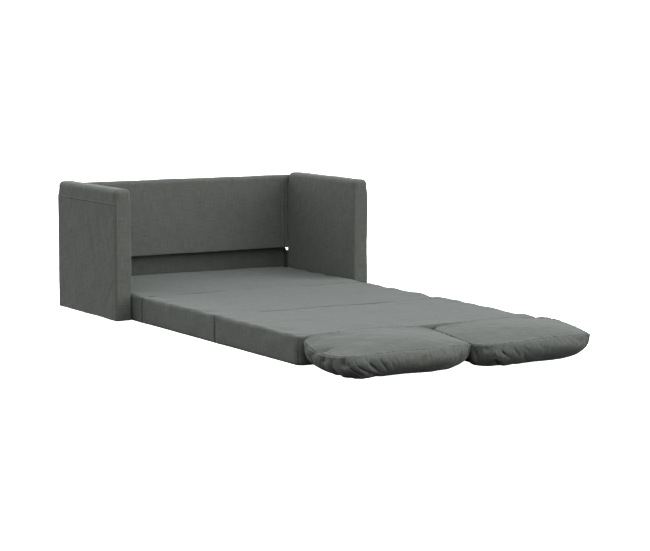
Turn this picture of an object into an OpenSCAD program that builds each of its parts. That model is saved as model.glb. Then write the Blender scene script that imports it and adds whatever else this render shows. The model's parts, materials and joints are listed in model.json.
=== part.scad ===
// Two-seat fold-out sofa bed on the floor, opened out as a bed.
// A padded back and two arms stand on glides. Between them lies a three-section foam
// mattress: the rear section stays put, the middle one is hinged along its top edge and the
// end one along its bottom edge, so both fold back in a Z to make the seat. Two loose
// pillows lie on the floor beyond the mattress.
// X runs to the right, Y to the back, Z up. The origin is on the floor, at the middle of the
// whole outline. The pieces are drawn with Y = 0 on the front face of the back, then moved.

/* [Sofa] */
// Width over both arms
sofa_w = 1220; // [1100:10:1500]
// Height of the top of the arms
arm_h = 550; // [460:5:680]
// Depth of each arm from front to back
arm_d = 595; // [480:5:640]
// Thickness of each arm
arm_t = 73; // [66:1:110]
// Height of the top of the back
back_h = 536; // [440:2:660]
// Thickness of the back from front face to rear face
back_t = 62; // [58:1:90]
// Height of the bottom edge of the padded back panel
panel_z = 199; // [170:1:240]
// How far each end of the back stops short of the outer face of its arm
back_inset = 36; // [28:1:42]
// Depth of the recess below the padded panel
recess_d = 35; // [28:1:38]

/* [Soft edges] */
// Radius of the arms' top corners seen from the side
arm_side_r = 28; // [16:1:34]
// Radius of the arms' top edges seen from the front
arm_top_r = 20; // [10:1:24]
// Radius of the arms' front upright edges
arm_edge_r = 10; // [4:1:11]
// Radius of the top edges of the back
back_top_r = 16; // [8:1:20]
// Radius of the upright edges of the back panel's front
back_edge_r = 6; // [3:1:9]
// Radius of the top corners of the low board
low_corner_r = 12; // [6:1:20]

/* [Mattress] */
// Length of each folding section
fold_l = 650; // [560:5:700]
// Space left between the folded sections and the back
fold_clear = 28; // [20:1:60]
// Thickness of each section at its edges
mat_h = 110; // [90:1:130]
// How much higher the middle of a section is than its edges
mat_crown = 3; // [1:0.5:6]
// Space between the mattress and the arm on each side
mat_side_gap = 5; // [3:1:15]
// Rounding of the outer edges of a section
mat_edge_r = 12; // [6:1:18]
// Rounding of a section along a fold
mat_fold_r = 4; // [2:0.5:8]
// Radius of the two end corners of the bed, seen from above
mat_corner_r = 30; // [16:1:50]
// Radius of all other corners of the sections, seen from above
mat_seam_r = 9; // [8:1:20]
// Thickness of one leaf of a fabric hinge
leaf_t = 1.35; // [0.8:0.05:2]
// Height of each hinge leaf
leaf_h = 60; // [30:1:80]
// How far each hinge leaf stops short of the side of the mattress
leaf_inset = 32; // [20:1:80]

/* [Pillows] */
// Width of each pillow from side to side
pillow_w = 570; // [480:5:590]
// Depth of each pillow from front to rear
pillow_d = 406; // [320:2:460]
// Height of each pillow at its crown
pillow_h = 130; // [100:1:150]
// Height of the seam at the middle of its front and ends
pillow_seam_z = 92; // [70:1:100]
// How much lower the seam is at the corners
pillow_dip = 6; // [0:1:20]
// How much higher the seam is at the middle of the rear, where the pillow is pushed up
pillow_lift = 14; // [0:1:24]
// How far the underside draws in below the seam, all round
pillow_tuck = 48; // [20:1:70]
// Space between the two pillows
pillow_gap = 1.5; // [1:0.5:30]
// How far to the right of the sofa's middle the pair lies
pillow_shift = 11; // [0:1:16]

/* [Upholstery] */
// Thickness of the fabric with its lining
cover_t = 1.5; // [1:0.1:2]
// Foam on the inner and outer faces of the arms
arm_side_foam = 6; // [4:0.5:8]
// Foam on the front and rear of the arms
arm_end_foam = 8; // [6:0.5:14]
// Foam on top of the arms
arm_top_foam = 14; // [12:0.5:24]
// Foam on the front of the back panel
back_foam = 10; // [6:0.5:14]
// Foam on top of the back panel
back_top_foam = 12; // [8:0.5:20]
// Thickness of the thin boards on the arms and the back
board_t = 4; // [3:0.5:5]
// Thickness of the low board under the back panel
low_board_t = 10; // [8:0.5:12]

/* [Timber] */
// Width of the posts
post_w = 40; // [34:1:50]
// Height of the rails
rail_h = 40; // [34:1:50]
// Height of the legs under the back panel
leg_h = 181; // [120:1:184]

/* [Fasteners] */
// Radius of the bolts
bolt_r = 4; // [3:0.5:4]
// Radius of the bolt heads
head_r = 6.5; // [6:0.1:7]
// Height of the bolt heads
head_h = 5; // [4:0.1:6]
// Width of the hexagon socket in a bolt head, corner to corner
socket_w = 6.9; // [5:0.1:7]
// Depth of the hexagon socket
socket_d = 3; // [2:0.1:3.5]
// Radius of the washers
washer_r = 9; // [8:0.1:11]
// Thickness of the washers
washer_t = 1.6; // [1:0.1:2]
// Radius of the threaded inserts
insert_r = 6; // [5.2:0.1:6.5]
// Length of the threaded inserts
insert_l = 22; // [16:1:30]
// Distance of the bolts from the ends of the back
bolt_end = 14; // [12:1:15]
// Distance of the upper bolts from the top and bottom edges of the panel
bolt_edge = 70; // [50:1:100]
// Radius of the frame screws
screw_r = 2.5; // [2:0.1:3]
// Length of the frame screws
screw_l = 75; // [60:1:90]
// Length of the screws in the low legs
leg_screw_l = 50; // [40:1:56]
// Radius of the heads of the frame screws
screw_head_r = 4.8; // [4:0.1:5.5]
// Radius of the glides under the arms
glide_r = 12; // [8:1:16]
// Radius of the glides under the base rail
base_glide_r = 7; // [4:0.5:7]
// Height of the glides
glide_h = 3; // [2:0.5:5]
// Radius of the stem of a glide
stem_r = 2; // [1.5:0.1:3]
// Length of the stem of a glide
stem_l = 16; // [10:1:24]
// Distance of the arm glides from the front and the rear of an arm
glide_end = 70; // [40:1:120]

/* [Hidden] */
$fn = 96;

// Colours
fabric_tone = "#5b5f5b";
shade_tone = "#4a4c48";
foam_tone = "#e6dfc4";
timber_tone = "#c9a77a";
stain_tone = "#2b2927";
board_tone = "#8a6844";
steel_tone = "#b9bcc0";
glide_tone = "#26262a";

// Clearances
eps = 1; // overrun of every cut
seat_gap = 0.3; // soft pieces that rest against each other
fold_gap = 0.3; // between the two leaves of a hinge
axis_lift = 0.5; // fold line above the crown
floor_lift = 0.4; // folding sections above the floor
run_gap = 1; // pillows clear of the swinging end section
thread_gap = 0.05; // bolts and screws in their holes
bolt_gap = 0.4; // bolts in their passing holes
low_gap = 2; // low board below the panel

// Widths
half_w = sofa_w / 2;
half_in = half_w - arm_t;
back_half = half_w - back_inset;
low_half = (half_in + back_half - low_corner_r) / 2;

// Layers of an arm
skin_side = cover_t + arm_side_foam;
skin_end = cover_t + arm_end_foam;
core_t = arm_t - 2 * skin_side;
core_z = glide_h + cover_t;
core_top = arm_h - cover_t - arm_top_foam;
frame_t = core_t - 2 * board_t;
frame_x = half_in + skin_side + board_t;

// Layers of the back panel
board_y = cover_t + back_foam;
frame_y = board_y + board_t;
rear_y = back_t - cover_t;
frame_d = rear_y - frame_y;
panel_low = panel_z + cover_t;
panel_top = back_h - cover_t - back_top_foam;
post_x = back_half - cover_t - post_w;

// Low board and its base rail
low_d = low_board_t + 2 * cover_t;
low_top = panel_z - low_gap;
base_y = recess_d + low_d;
base_d = back_t - base_y;

// Fold lines and ends of the mattress
axis_z = mat_h + mat_crown + axis_lift;
fold_1 = -(fold_l + fold_clear);
fold_2 = fold_1 - fold_l;
bed_end = fold_2 - fold_l;
half_fold = leaf_t + fold_gap / 2;
mat_half = half_in - mat_side_gap;
leaf_half = mat_half - leaf_inset;
leaf_top = mat_h - mat_fold_r;

// Pillows: the end section swings forward by swing_reach as it lifts
swing_reach = sqrt(fold_l * fold_l + axis_z * axis_z) - fold_l;
pillow_rear = bed_end - swing_reach - run_gap;
pillow_y = pillow_rear - pillow_d / 2;
pillow_x = (pillow_w + pillow_gap) / 2;

// The whole outline runs from the pillows to the bolt heads
outline_front = pillow_rear - pillow_d;
outline_rear = back_t + washer_t + head_h;
centre_y = -(outline_front + outline_rear) / 2;

// Fasteners
bolt_x = back_half - bolt_end;
bolt_zs = [glide_h + rail_h / 2, panel_z + bolt_edge, back_h - bolt_edge];
bolt_l = back_t + skin_end + insert_l;
screw_head_h = screw_head_r - screw_r;
leg_screw_share = 0.7; // height of the leg screws on the base rail

// Side profile of a mattress section, from the floor up: [share of the edge rounding,
// share of the edge height]
section_shares = [[1, 0], [0.12, 0.1], [0, 0.5], [0.12, 0.9], [1, 1]];
filling_shares = [[1, 0], [0.12, 0.1], [0.12, 0.9], [1, 1]];
// Rings of its crowned top: share of the half width and half length, from the edge inwards
crown_shares = [0.75, 0.35];
filling_crown_shares = [0.5];
// Vertical profile of a pillow, from the floor up: [share of the tuck, share of the outline,
// share of the height below the seam, share of the rise above it]
pillow_shares = [[1, 1, 0, 0], [0.76, 1, 0.08, 0], [0.48, 1, 0.2, 0], [0.18, 1, 0.42, 0],
    [0, 1, 0.75, 0], [0, 1, 1, 0], [0, 0.94, 1, 0.34], [0, 0.8, 1, 0.65], [0, 0.6, 1, 0.865],
    [0, 0.3, 1, 0.98]];
fill_shares = [[1, 1, 0, 0], [0.48, 1, 0.2, 0], [0, 1, 0.75, 0], [0, 1, 1, 0],
    [0, 0.8, 1, 0.65], [0, 0.3, 1, 0.98]];
// How square each quarter of a pillow is: rear right, rear left, front left, front right
left_pillow_powers = [5, 4.5, 5.9, 3.3];
right_pillow_powers = [4, 4.5, 5, 2.2];

// Counts: sides of a pillow and of its filling, steps round a section's corner, and spare
// points along its sides
pillow_sides = 40;
fill_sides = 20;
skin_steps = [3, 3];
filling_steps = [2, 0];

// Helpers

module placed() {
    translate([0, centre_y, 0]) children();
}

// Draws its children on the right, or mirrored on the left
module on_side(left) {
    mirror([left ? 1 : 0, 0, 0]) children();
}

module block(low, high) {
    translate(low) cube(high - low);
}

module corner_cut(r) {
    if (r > 0) difference() {
        translate([-eps, -eps]) square(r + eps);
        translate([r, r]) circle(r);
    }
}

// Rectangle with its own radius at each corner: low left, low right, high right, high left
module rounded(w, h, radii) {
    difference() {
        square([w, h]);
        corner_cut(radii[0]);
        translate([w, 0]) mirror([1, 0]) corner_cut(radii[1]);
        translate([w, h]) rotate(180) corner_cut(radii[2]);
        translate([0, h]) mirror([0, 1]) corner_cut(radii[3]);
    }
}

// Upholstered block from low to high. plan, side and front give the radii that it shows
// from above, from the right and from the front; t draws it in on every face.
module soft_block(low, high, plan, side, front, t = 0) {
    size = high - low - [2 * t, 2 * t, 2 * t];
    translate(low + [t, t, t]) intersection() {
        linear_extrude(size.z) rounded(size.x, size.y, less(plan, t));
        rotate([90, 0, 90]) linear_extrude(size.x) rounded(size.y, size.z, less(side, t));
        translate([0, size.y, 0]) rotate([90, 0, 0])
            linear_extrude(size.y) rounded(size.x, size.z, less(front, t));
    }
}

function less(radii, t) = [for (r = radii) max(r - t, 0)];

// Cylinder along Y from y to y + l
module rod_y(x, y, z, r, l) {
    translate([x, y + l, z]) rotate([90, 0, 0]) cylinder(r = r, h = l);
}

// Closed skin through rings of equal size, with a fan at the bottom and at the top
module skin(rings, base, peak) {
    n = len(rings[0]);
    m = len(rings);
    points = concat([base], [for (ring = rings) each ring], [peak]);
    last = n * m + 1;
    faces = concat(
        [for (i = [0:n - 1]) [0, 1 + i, 1 + (i + 1) % n]],
        [for (j = [0:m - 2], i = [0:n - 1])
            [1 + j * n + i, 1 + (j + 1) * n + i, 1 + (j + 1) * n + (i + 1) % n]],
        [for (j = [0:m - 2], i = [0:n - 1])
            [1 + j * n + i, 1 + (j + 1) * n + (i + 1) % n, 1 + j * n + (i + 1) % n]],
        [for (i = [0:n - 1]) [last, 1 + (m - 1) * n + (i + 1) % n, 1 + (m - 1) * n + i]]);
    polyhedron(points = points, faces = faces);
}

// Arms

arm_plan = [arm_edge_r, arm_edge_r, cover_t, cover_t];
arm_side = [cover_t, cover_t, arm_side_r, arm_side_r];
arm_front = [cover_t, cover_t, arm_top_r, arm_top_r];

// Upholstered shape of the right arm, drawn in by t
module arm_shape(t = 0) {
    soft_block([half_in, -arm_d, glide_h], [half_w, 0, arm_h], arm_plan, arm_side,
        arm_front, t);
}

// Space of the arm's boards and frame, run down through the bottom by drop
module arm_core(drop = 0) {
    block([half_in + skin_side, -arm_d + skin_end, core_z - drop],
        [half_w - skin_side, -skin_end, core_top]);
}

module arm_bolt_holes(r) {
    for (z = bolt_zs) rod_y(bolt_x, -skin_end - insert_l - eps, z, r,
        skin_end + insert_l + 2 * eps);
}

module arm_glide_places() {
    for (y = [-arm_d + glide_end, -glide_end])
        translate([half_in + arm_t / 2, y, 0]) children();
}

module arm_cover(left) {
    color(fabric_tone) placed() on_side(left) difference() {
        arm_shape();
        arm_shape(cover_t);
        arm_bolt_holes(bolt_r + bolt_gap);
        arm_glide_places() cylinder(r = stem_r + thread_gap, h = core_z + eps);
    }
}

module arm_foam(left) {
    color(foam_tone) placed() on_side(left) difference() {
        arm_shape(cover_t);
        arm_core(eps);
        arm_bolt_holes(bolt_r + bolt_gap);
    }
}

module arm_board(left, x) {
    color(board_tone) placed() on_side(left)
        block([x, -arm_d + skin_end, core_z], [x + board_t, -skin_end, core_top]);
}

// Screws of the arm frame: one through each post into each end of each rail
module arm_screws(gap = 0) {
    x = frame_x + frame_t / 2;
    for (z = [core_z + rail_h / 2, core_top - rail_h / 2]) {
        translate([x, -arm_d + skin_end, z]) rotate([-90, 0, 0]) screw(screw_l, gap);
        translate([x, -skin_end, z]) rotate([90, 0, 0]) screw(screw_l, gap);
    }
}

module arm_post(left, y) {
    color(timber_tone) placed() on_side(left) difference() {
        block([frame_x, y, core_z], [frame_x + frame_t, y + post_w, core_top]);
        for (z = bolt_zs) rod_y(bolt_x, -skin_end - insert_l, z, insert_r, insert_l + eps);
        arm_screws(thread_gap);
    }
}

module arm_rail(left, z) {
    color(timber_tone) placed() on_side(left) difference() {
        block([frame_x, -arm_d + skin_end + post_w, z],
            [frame_x + frame_t, -skin_end - post_w, z + rail_h]);
        arm_screws(thread_gap);
        arm_glide_places() cylinder(r = stem_r + thread_gap, h = glide_h + stem_l);
    }
}

module left_arm_cover() { arm_cover(true); }
module right_arm_cover() { arm_cover(false); }
module left_arm_foam() { arm_foam(true); }
module right_arm_foam() { arm_foam(false); }
module left_arm_inner_board() { arm_board(true, half_in + skin_side); }
module right_arm_inner_board() { arm_board(false, half_in + skin_side); }
module left_arm_outer_board() { arm_board(true, frame_x + frame_t); }
module right_arm_outer_board() { arm_board(false, frame_x + frame_t); }
module left_arm_front_post() { arm_post(true, -arm_d + skin_end); }
module right_arm_front_post() { arm_post(false, -arm_d + skin_end); }
module left_arm_rear_post() { arm_post(true, -skin_end - post_w); }
module right_arm_rear_post() { arm_post(false, -skin_end - post_w); }
module left_arm_top_rail() { arm_rail(true, core_top - rail_h); }
module right_arm_top_rail() { arm_rail(false, core_top - rail_h); }
module left_arm_base_rail() { arm_rail(true, core_z); }
module right_arm_base_rail() { arm_rail(false, core_z); }

// Back panel

back_plan = [back_edge_r, back_edge_r, cover_t, cover_t];
back_side = [cover_t, cover_t, back_top_r, back_top_r];
back_front = [cover_t, cover_t, back_edge_r, back_edge_r];

module panel_shape(t = 0) {
    soft_block([-back_half, 0, panel_z], [back_half, back_t, back_h], back_plan, back_side,
        back_front, t);
}

module both_sides() {
    children();
    mirror([1, 0, 0]) children();
}

module back_bolt_holes() {
    both_sides() for (z = bolt_zs)
        rod_y(bolt_x, -eps, z, bolt_r + bolt_gap, back_t + 2 * eps);
}

module back_panel_cover() {
    color(fabric_tone) placed() difference() {
        panel_shape();
        panel_shape(cover_t);
        block([-back_half + cover_t, rear_y - cover_t, panel_low],
            [back_half - cover_t, back_t + eps, panel_top]);
        back_bolt_holes();
    }
}

module back_panel_foam() {
    color(foam_tone) placed() difference() {
        panel_shape(cover_t);
        block([-back_half, board_y, panel_z], [back_half, back_t, panel_top]);
        back_bolt_holes();
    }
}

module back_front_board() {
    color(board_tone) placed() difference() {
        block([-back_half + cover_t, board_y, panel_low],
            [back_half - cover_t, frame_y, panel_top]);
        back_bolt_holes();
    }
}

// Cloth that closes the rear of the panel
module back_rear_cover() {
    color(shade_tone) placed() difference() {
        block([-back_half + cover_t, rear_y, panel_low],
            [back_half - cover_t, back_t, panel_top]);
        back_bolt_holes();
    }
}

// Screws of the back frame: through the end posts into the rails, and through the rails
// into the centre post
module back_screws(gap = 0) {
    y = frame_y + frame_d / 2;
    both_sides() for (z = [panel_low + rail_h / 2, panel_top - rail_h / 2])
        translate([back_half - cover_t, y, z]) rotate([0, -90, 0]) screw(screw_l, gap);
    translate([0, y, panel_low]) screw(screw_l, gap);
    translate([0, y, panel_top]) rotate([180, 0, 0]) screw(screw_l, gap);
}

module back_post(left) {
    color(timber_tone) placed() on_side(left) difference() {
        block([post_x, frame_y, panel_low], [post_x + post_w, rear_y, panel_top]);
        back_bolt_holes();
        back_screws(thread_gap);
    }
}

module back_left_post() { back_post(true); }
module back_right_post() { back_post(false); }

module back_centre_post() {
    color(timber_tone) placed() difference() {
        block([-post_w / 2, frame_y, panel_low + rail_h],
            [post_w / 2, rear_y, panel_top - rail_h]);
        back_screws(thread_gap);
    }
}

module back_rail(z) {
    color(timber_tone) placed() difference() {
        block([-post_x, frame_y, z], [post_x, rear_y, z + rail_h]);
        back_screws(thread_gap);
    }
}

module back_top_rail() { back_rail(panel_top - rail_h); }
module back_bottom_rail() { back_rail(panel_low); }

// Low board, its legs and base rail. The legs stop below the panel, which leaves a small
// opening between them at each end of the recess.

module low_shape(t = 0) {
    translate([-low_half + t, base_y - t, glide_h + t]) rotate([90, 0, 0])
        linear_extrude(low_d - 2 * t)
            rounded(2 * (low_half - t), low_top - glide_h - 2 * t,
                less([cover_t, cover_t, low_corner_r, low_corner_r], t));
}

module low_board_cover() {
    color(shade_tone) placed() difference() {
        low_shape();
        low_shape(cover_t);
        back_bolt_holes();
        leg_screws(thread_gap);
    }
}

module low_board() {
    color(board_tone) placed() difference() {
        low_shape(cover_t);
        back_bolt_holes();
        leg_screws(thread_gap);
    }
}

module base_glide_places() {
    for (x = [-half_in, 0, half_in])
        translate([x, base_y + base_d / 2, 0]) children();
}

module low_base_rail() {
    color(timber_tone) placed() difference() {
        block([-back_half + cover_t, base_y, glide_h],
            [back_half - cover_t, back_t, glide_h + rail_h]);
        back_bolt_holes();
        base_glide_places() cylinder(r = stem_r + thread_gap, h = glide_h + stem_l);
        leg_screws(thread_gap);
    }
}

// Screws that hold the low legs, through the base rail and the low board
module leg_screws(gap = 0) {
    both_sides() translate([half_in + cover_t + screw_head_r, back_t,
        glide_h + leg_screw_share * rail_h]) rotate([90, 0, 0]) screw(leg_screw_l, gap);
}

module low_leg(left) {
    color(stain_tone) placed() on_side(left) difference() {
        block([half_in, 0, glide_h], [back_half - cover_t, recess_d, glide_h + leg_h]);
        back_bolt_holes();
        leg_screws(thread_gap);
    }
}

module left_low_leg() { low_leg(true); }
module right_low_leg() { low_leg(false); }

// Fasteners and glides

// Countersunk screw of length l that runs along +Z from its head, wider by gap
module screw(l, gap = 0) {
    translate([0, 0, gap > 0 ? -eps : 0]) cylinder(r = screw_r + gap,
        h = l + (gap > 0 ? eps + gap : 0));
    cylinder(r1 = screw_head_r + gap, r2 = screw_r + gap, h = screw_head_h);
}

module bolt_places() {
    both_sides() for (z = bolt_zs)
        translate([bolt_x, back_t, z]) rotate([-90, 0, 0]) children();
}

// Bolts run from the rear of the back into the arms
module arm_bolts() {
    color(steel_tone) placed() bolt_places() difference() {
        union() {
            translate([0, 0, washer_t]) cylinder(r = head_r, h = head_h);
            translate([0, 0, -bolt_l]) cylinder(r = bolt_r, h = bolt_l + washer_t);
        }
        translate([0, 0, washer_t + head_h - socket_d])
            cylinder(r = socket_w / 2, h = socket_d + eps, $fn = 6);
    }
}

module bolt_washers() {
    color(steel_tone) placed() bolt_places() difference() {
        cylinder(r = washer_r, h = washer_t);
        translate([0, 0, -eps]) cylinder(r = bolt_r + bolt_gap, h = washer_t + 2 * eps);
    }
}

module threaded_inserts() {
    color(steel_tone) placed() both_sides() for (z = bolt_zs) difference() {
        rod_y(bolt_x, -skin_end - insert_l, z, insert_r, insert_l);
        rod_y(bolt_x, -skin_end - insert_l - eps, z, bolt_r + thread_gap,
            insert_l + 2 * eps);
    }
}

module frame_screws() {
    color(steel_tone) placed() {
        both_sides() arm_screws();
        back_screws();
        leg_screws();
    }
}

module glide(r) {
    cylinder(r = r, h = glide_h);
    cylinder(r = stem_r, h = glide_h + stem_l);
}

module arm_glides() {
    color(glide_tone) placed() both_sides() arm_glide_places() glide(glide_r);
}

module back_glides() {
    color(glide_tone) placed() base_glide_places() glide(base_glide_r);
}

// Mattress

// Points round a quarter turn at a corner of radius r
function corner(x, y, r, from, steps) =
    [for (i = [0:steps]) let (a = from + i * 90 / steps) [x + r * cos(a), y + r * sin(a)]];

// Closed outline from [-w, y_a] to [w, y_b], with radius r_a at its front and r_b at its
// rear corners, and spare points along each side
function outline(w, y_a, y_b, r_a, r_b, steps, spare) = concat(
    corner(-w + r_a, y_a + r_a, r_a, 180, steps),
    between([-w + r_a, y_a], [w - r_a, y_a], spare),
    corner(w - r_a, y_a + r_a, r_a, 270, steps),
    between([w, y_a + r_a], [w, y_b - r_b], spare),
    corner(w - r_b, y_b - r_b, r_b, 0, steps),
    between([w - r_b, y_b], [-w + r_b, y_b], spare),
    corner(-w + r_b, y_b - r_b, r_b, 90, steps),
    between([-w, y_b - r_b], [-w, y_a + r_a], spare));

function between(p, q, spare) =
    [for (i = [1:1:spare]) p + (q - p) * i / (spare + 1)];

function at_height(ring, z) = [for (p = ring) [p.x, p.y, z]];

// Crowned section from y_a to y_b with its underside at z. in_a and in_b are the edge
// roundings of its front and rear, r_a and r_b its corner radii, t draws it in.
module section(y_a, y_b, z, in_a, in_b, r_a, r_b, steps, shares, crowns, t = 0) {
    h = mat_h - z - 2 * t;
    base = [0, (y_a + y_b) / 2, z + t];
    function ring(share) = outline(mat_half - t - share * mat_edge_r,
        y_a + t + share * in_a, y_b - t - share * in_b,
        r_a - t - share * min(in_a, mat_edge_r), r_b - t - share * min(in_b, mat_edge_r),
        steps[0], steps[1]);
    edge = ring(1);
    rings = concat(
        [for (s = shares) at_height(ring(s[0]), base.z + s[1] * h)],
        [for (s = crowns) [for (p = edge) [p.x * s, base.y + (p.y - base.y) * s,
            base.z + h + mat_crown * (1 - s * s)]]]);
    skin(rings, base, base + [0, 0, h + mat_crown]);
}

module section_skin(y_a, y_b, z, in_a, in_b, r_a, r_b) {
    section(y_a, y_b, z, in_a, in_b, r_a, r_b, skin_steps, section_shares, crown_shares);
}

module section_filling(y_a, y_b, z, in_a, in_b, r_a, r_b) {
    section(y_a, y_b, z, in_a, in_b, r_a, r_b, filling_steps, filling_shares,
        filling_crown_shares, cover_t);
}

// Each section is drawn by its skin or by its filling
module rear_section(filling) {
    if (filling)
        section_filling(fold_1 + half_fold, recess_d - seat_gap, 0, mat_fold_r, mat_fold_r,
            mat_seam_r, mat_seam_r);
    else
        section_skin(fold_1 + half_fold, recess_d - seat_gap, 0, mat_fold_r, mat_fold_r,
            mat_seam_r, mat_seam_r);
}

module middle_section(filling) {
    if (filling)
        section_filling(fold_2 + half_fold, fold_1 - half_fold, floor_lift, mat_fold_r,
            mat_fold_r, mat_seam_r, mat_seam_r);
    else
        section_skin(fold_2 + half_fold, fold_1 - half_fold, floor_lift, mat_fold_r,
            mat_fold_r, mat_seam_r, mat_seam_r);
}

module end_section(filling) {
    if (filling)
        section_filling(bed_end, fold_2 - half_fold, floor_lift, mat_edge_r, mat_fold_r,
            mat_corner_r, mat_seam_r);
    else
        section_skin(bed_end, fold_2 - half_fold, floor_lift, mat_edge_r, mat_fold_r,
            mat_corner_r, mat_seam_r);
}

module rear_section_cover() {
    color(fabric_tone) placed() difference() {
        rear_section(false);
        rear_section(true);
    }
}

module rear_section_foam() {
    color(foam_tone) placed() rear_section(true);
}

module middle_section_cover() {
    color(fabric_tone) placed() difference() {
        middle_section(false);
        middle_section(true);
    }
}

module middle_section_foam() {
    color(foam_tone) placed() middle_section(true);
}

module end_section_cover() {
    color(fabric_tone) placed() difference() {
        end_section(false);
        end_section(true);
    }
}

module end_section_foam() {
    color(foam_tone) placed() end_section(true);
}

// One leaf of a fabric hinge: it lies on the end face of its section
module hinge_leaf(y, z) {
    color(shade_tone) placed()
        block([-leaf_half, y, z], [leaf_half, y + leaf_t, z + leaf_h]);
}

module rear_upper_hinge_leaf() { hinge_leaf(fold_1 + fold_gap / 2, leaf_top - leaf_h); }
module middle_upper_hinge_leaf() { hinge_leaf(fold_1 - half_fold, leaf_top - leaf_h); }
module middle_lower_hinge_leaf() { hinge_leaf(fold_2 + fold_gap / 2, mat_fold_r); }
module end_lower_hinge_leaf() { hinge_leaf(fold_2 - half_fold, mat_fold_r); }

// Pillows

function power(c, n) = sign(c) * pow(abs(c), 2 / n);

// Outline of a pillow: a superellipse with its own squareness in each quarter
function pillow_ring(n, powers, w, d) = [for (i = [0:n - 1])
    let (a = 360 * i / n, p = powers[floor(4 * i / n)])
        [w * power(cos(a), p), d * power(sin(a), p)]];

// Height of the seam round a pillow, less its height at the middle of the front
function pillow_wave(angle) =
    pillow_lift * pow(max(sin(angle), 0), 2) - pillow_dip * pow(sin(2 * angle), 2);

// Pillow with its underside on z = t, drawn in by t
module pillow_form(n, powers, shares, t = 0) {
    rings = [for (s = shares)
        let (inset = t + s[0] * pillow_tuck,
            ring = pillow_ring(n, powers, pillow_w / 2 - inset, pillow_d / 2 - inset))
        [for (i = [0:n - 1])
            let (edge = pillow_seam_z + s[1] * s[1] * pillow_wave(360 * i / n))
            [s[1] * ring[i].x, s[1] * ring[i].y,
                t + s[2] * (edge - 2 * t) + s[3] * (pillow_h - edge)]]];
    skin(rings, [0, 0, t], [0, 0, pillow_h - t]);
}

module pillow_filling(powers) {
    pillow_form(fill_sides, powers, fill_shares, cover_t);
}

module pillow_place(left) {
    translate([pillow_shift + (left ? -pillow_x : pillow_x), pillow_y, 0]) children();
}

module pillow_cover(left, powers) {
    color(fabric_tone) placed() pillow_place(left) difference() {
        pillow_form(pillow_sides, powers, pillow_shares);
        pillow_filling(powers);
    }
}

module pillow_fill(left, powers) {
    color(foam_tone) placed() pillow_place(left) pillow_filling(powers);
}

module left_pillow_cover() { pillow_cover(true, left_pillow_powers); }
module right_pillow_cover() { pillow_cover(false, right_pillow_powers); }
module left_pillow_fill() { pillow_fill(true, left_pillow_powers); }
module right_pillow_fill() { pillow_fill(false, right_pillow_powers); }

left_arm_cover();
left_arm_foam();
left_arm_inner_board();
left_arm_outer_board();
left_arm_front_post();
left_arm_rear_post();
left_arm_top_rail();
left_arm_base_rail();
right_arm_cover();
right_arm_foam();
right_arm_inner_board();
right_arm_outer_board();
right_arm_front_post();
right_arm_rear_post();
right_arm_top_rail();
right_arm_base_rail();
back_panel_cover();
back_panel_foam();
back_front_board();
back_rear_cover();
back_left_post();
back_right_post();
back_centre_post();
back_top_rail();
back_bottom_rail();
low_board_cover();
low_board();
low_base_rail();
left_low_leg();
right_low_leg();
arm_bolts();
bolt_washers();
threaded_inserts();
frame_screws();
arm_glides();
back_glides();
rear_section_cover();
rear_section_foam();
middle_section_cover();
middle_section_foam();
end_section_cover();
end_section_foam();
rear_upper_hinge_leaf();
middle_upper_hinge_leaf();
middle_lower_hinge_leaf();
end_lower_hinge_leaf();
left_pillow_cover();
left_pillow_fill();
right_pillow_cover();
right_pillow_fill();
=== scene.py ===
"""Dresses the fold-out sofa bed: woven covers, seams, pillows, fittings, light and camera.

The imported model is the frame. Every soft solid is replaced by a sewn surface that is worked
out with numpy from the solid's own box, and the timber, boards, steel and plastic keep their
CAD shape and get a finish. All lengths are in metres.
"""

import json
import logging
from dataclasses import dataclass
from enum import Enum
from typing import Sequence

import bpy
import numpy as np
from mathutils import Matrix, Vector

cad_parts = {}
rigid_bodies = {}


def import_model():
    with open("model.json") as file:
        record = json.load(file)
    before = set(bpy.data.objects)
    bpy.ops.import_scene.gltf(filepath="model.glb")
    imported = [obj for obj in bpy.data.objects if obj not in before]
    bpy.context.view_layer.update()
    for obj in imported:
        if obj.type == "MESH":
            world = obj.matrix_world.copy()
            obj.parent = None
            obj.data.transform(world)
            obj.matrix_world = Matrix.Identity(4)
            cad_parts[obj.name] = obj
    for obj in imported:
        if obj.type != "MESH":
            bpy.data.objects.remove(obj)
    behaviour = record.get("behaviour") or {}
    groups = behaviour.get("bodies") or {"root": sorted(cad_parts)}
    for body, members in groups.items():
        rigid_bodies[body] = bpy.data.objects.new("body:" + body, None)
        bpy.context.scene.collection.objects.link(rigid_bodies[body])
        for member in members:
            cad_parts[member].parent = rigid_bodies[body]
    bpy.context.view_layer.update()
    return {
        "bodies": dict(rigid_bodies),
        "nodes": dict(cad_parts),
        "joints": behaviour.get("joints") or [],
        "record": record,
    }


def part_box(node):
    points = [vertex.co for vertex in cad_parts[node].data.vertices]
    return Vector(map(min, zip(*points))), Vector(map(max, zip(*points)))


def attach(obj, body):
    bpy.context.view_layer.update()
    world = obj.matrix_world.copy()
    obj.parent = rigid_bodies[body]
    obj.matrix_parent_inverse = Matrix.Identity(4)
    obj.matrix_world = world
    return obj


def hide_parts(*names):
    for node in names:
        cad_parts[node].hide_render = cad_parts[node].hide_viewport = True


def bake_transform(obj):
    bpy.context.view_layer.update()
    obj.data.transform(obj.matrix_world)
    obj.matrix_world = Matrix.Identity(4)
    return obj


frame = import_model()

Array = np.ndarray
Marks = Sequence[Sequence[float]]
Waves = Sequence[tuple[float, float]]  # height and wavelength of each
Source = bpy.types.Node | bpy.types.NodeSocket
LOG = logging.getLogger("sofa_bed")
MM = 0.001
UV_NAME = "cloth"


class Side(Enum):
    """Which side of the sofa a piece belongs to."""

    LEFT = -1
    RIGHT = 1


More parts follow.
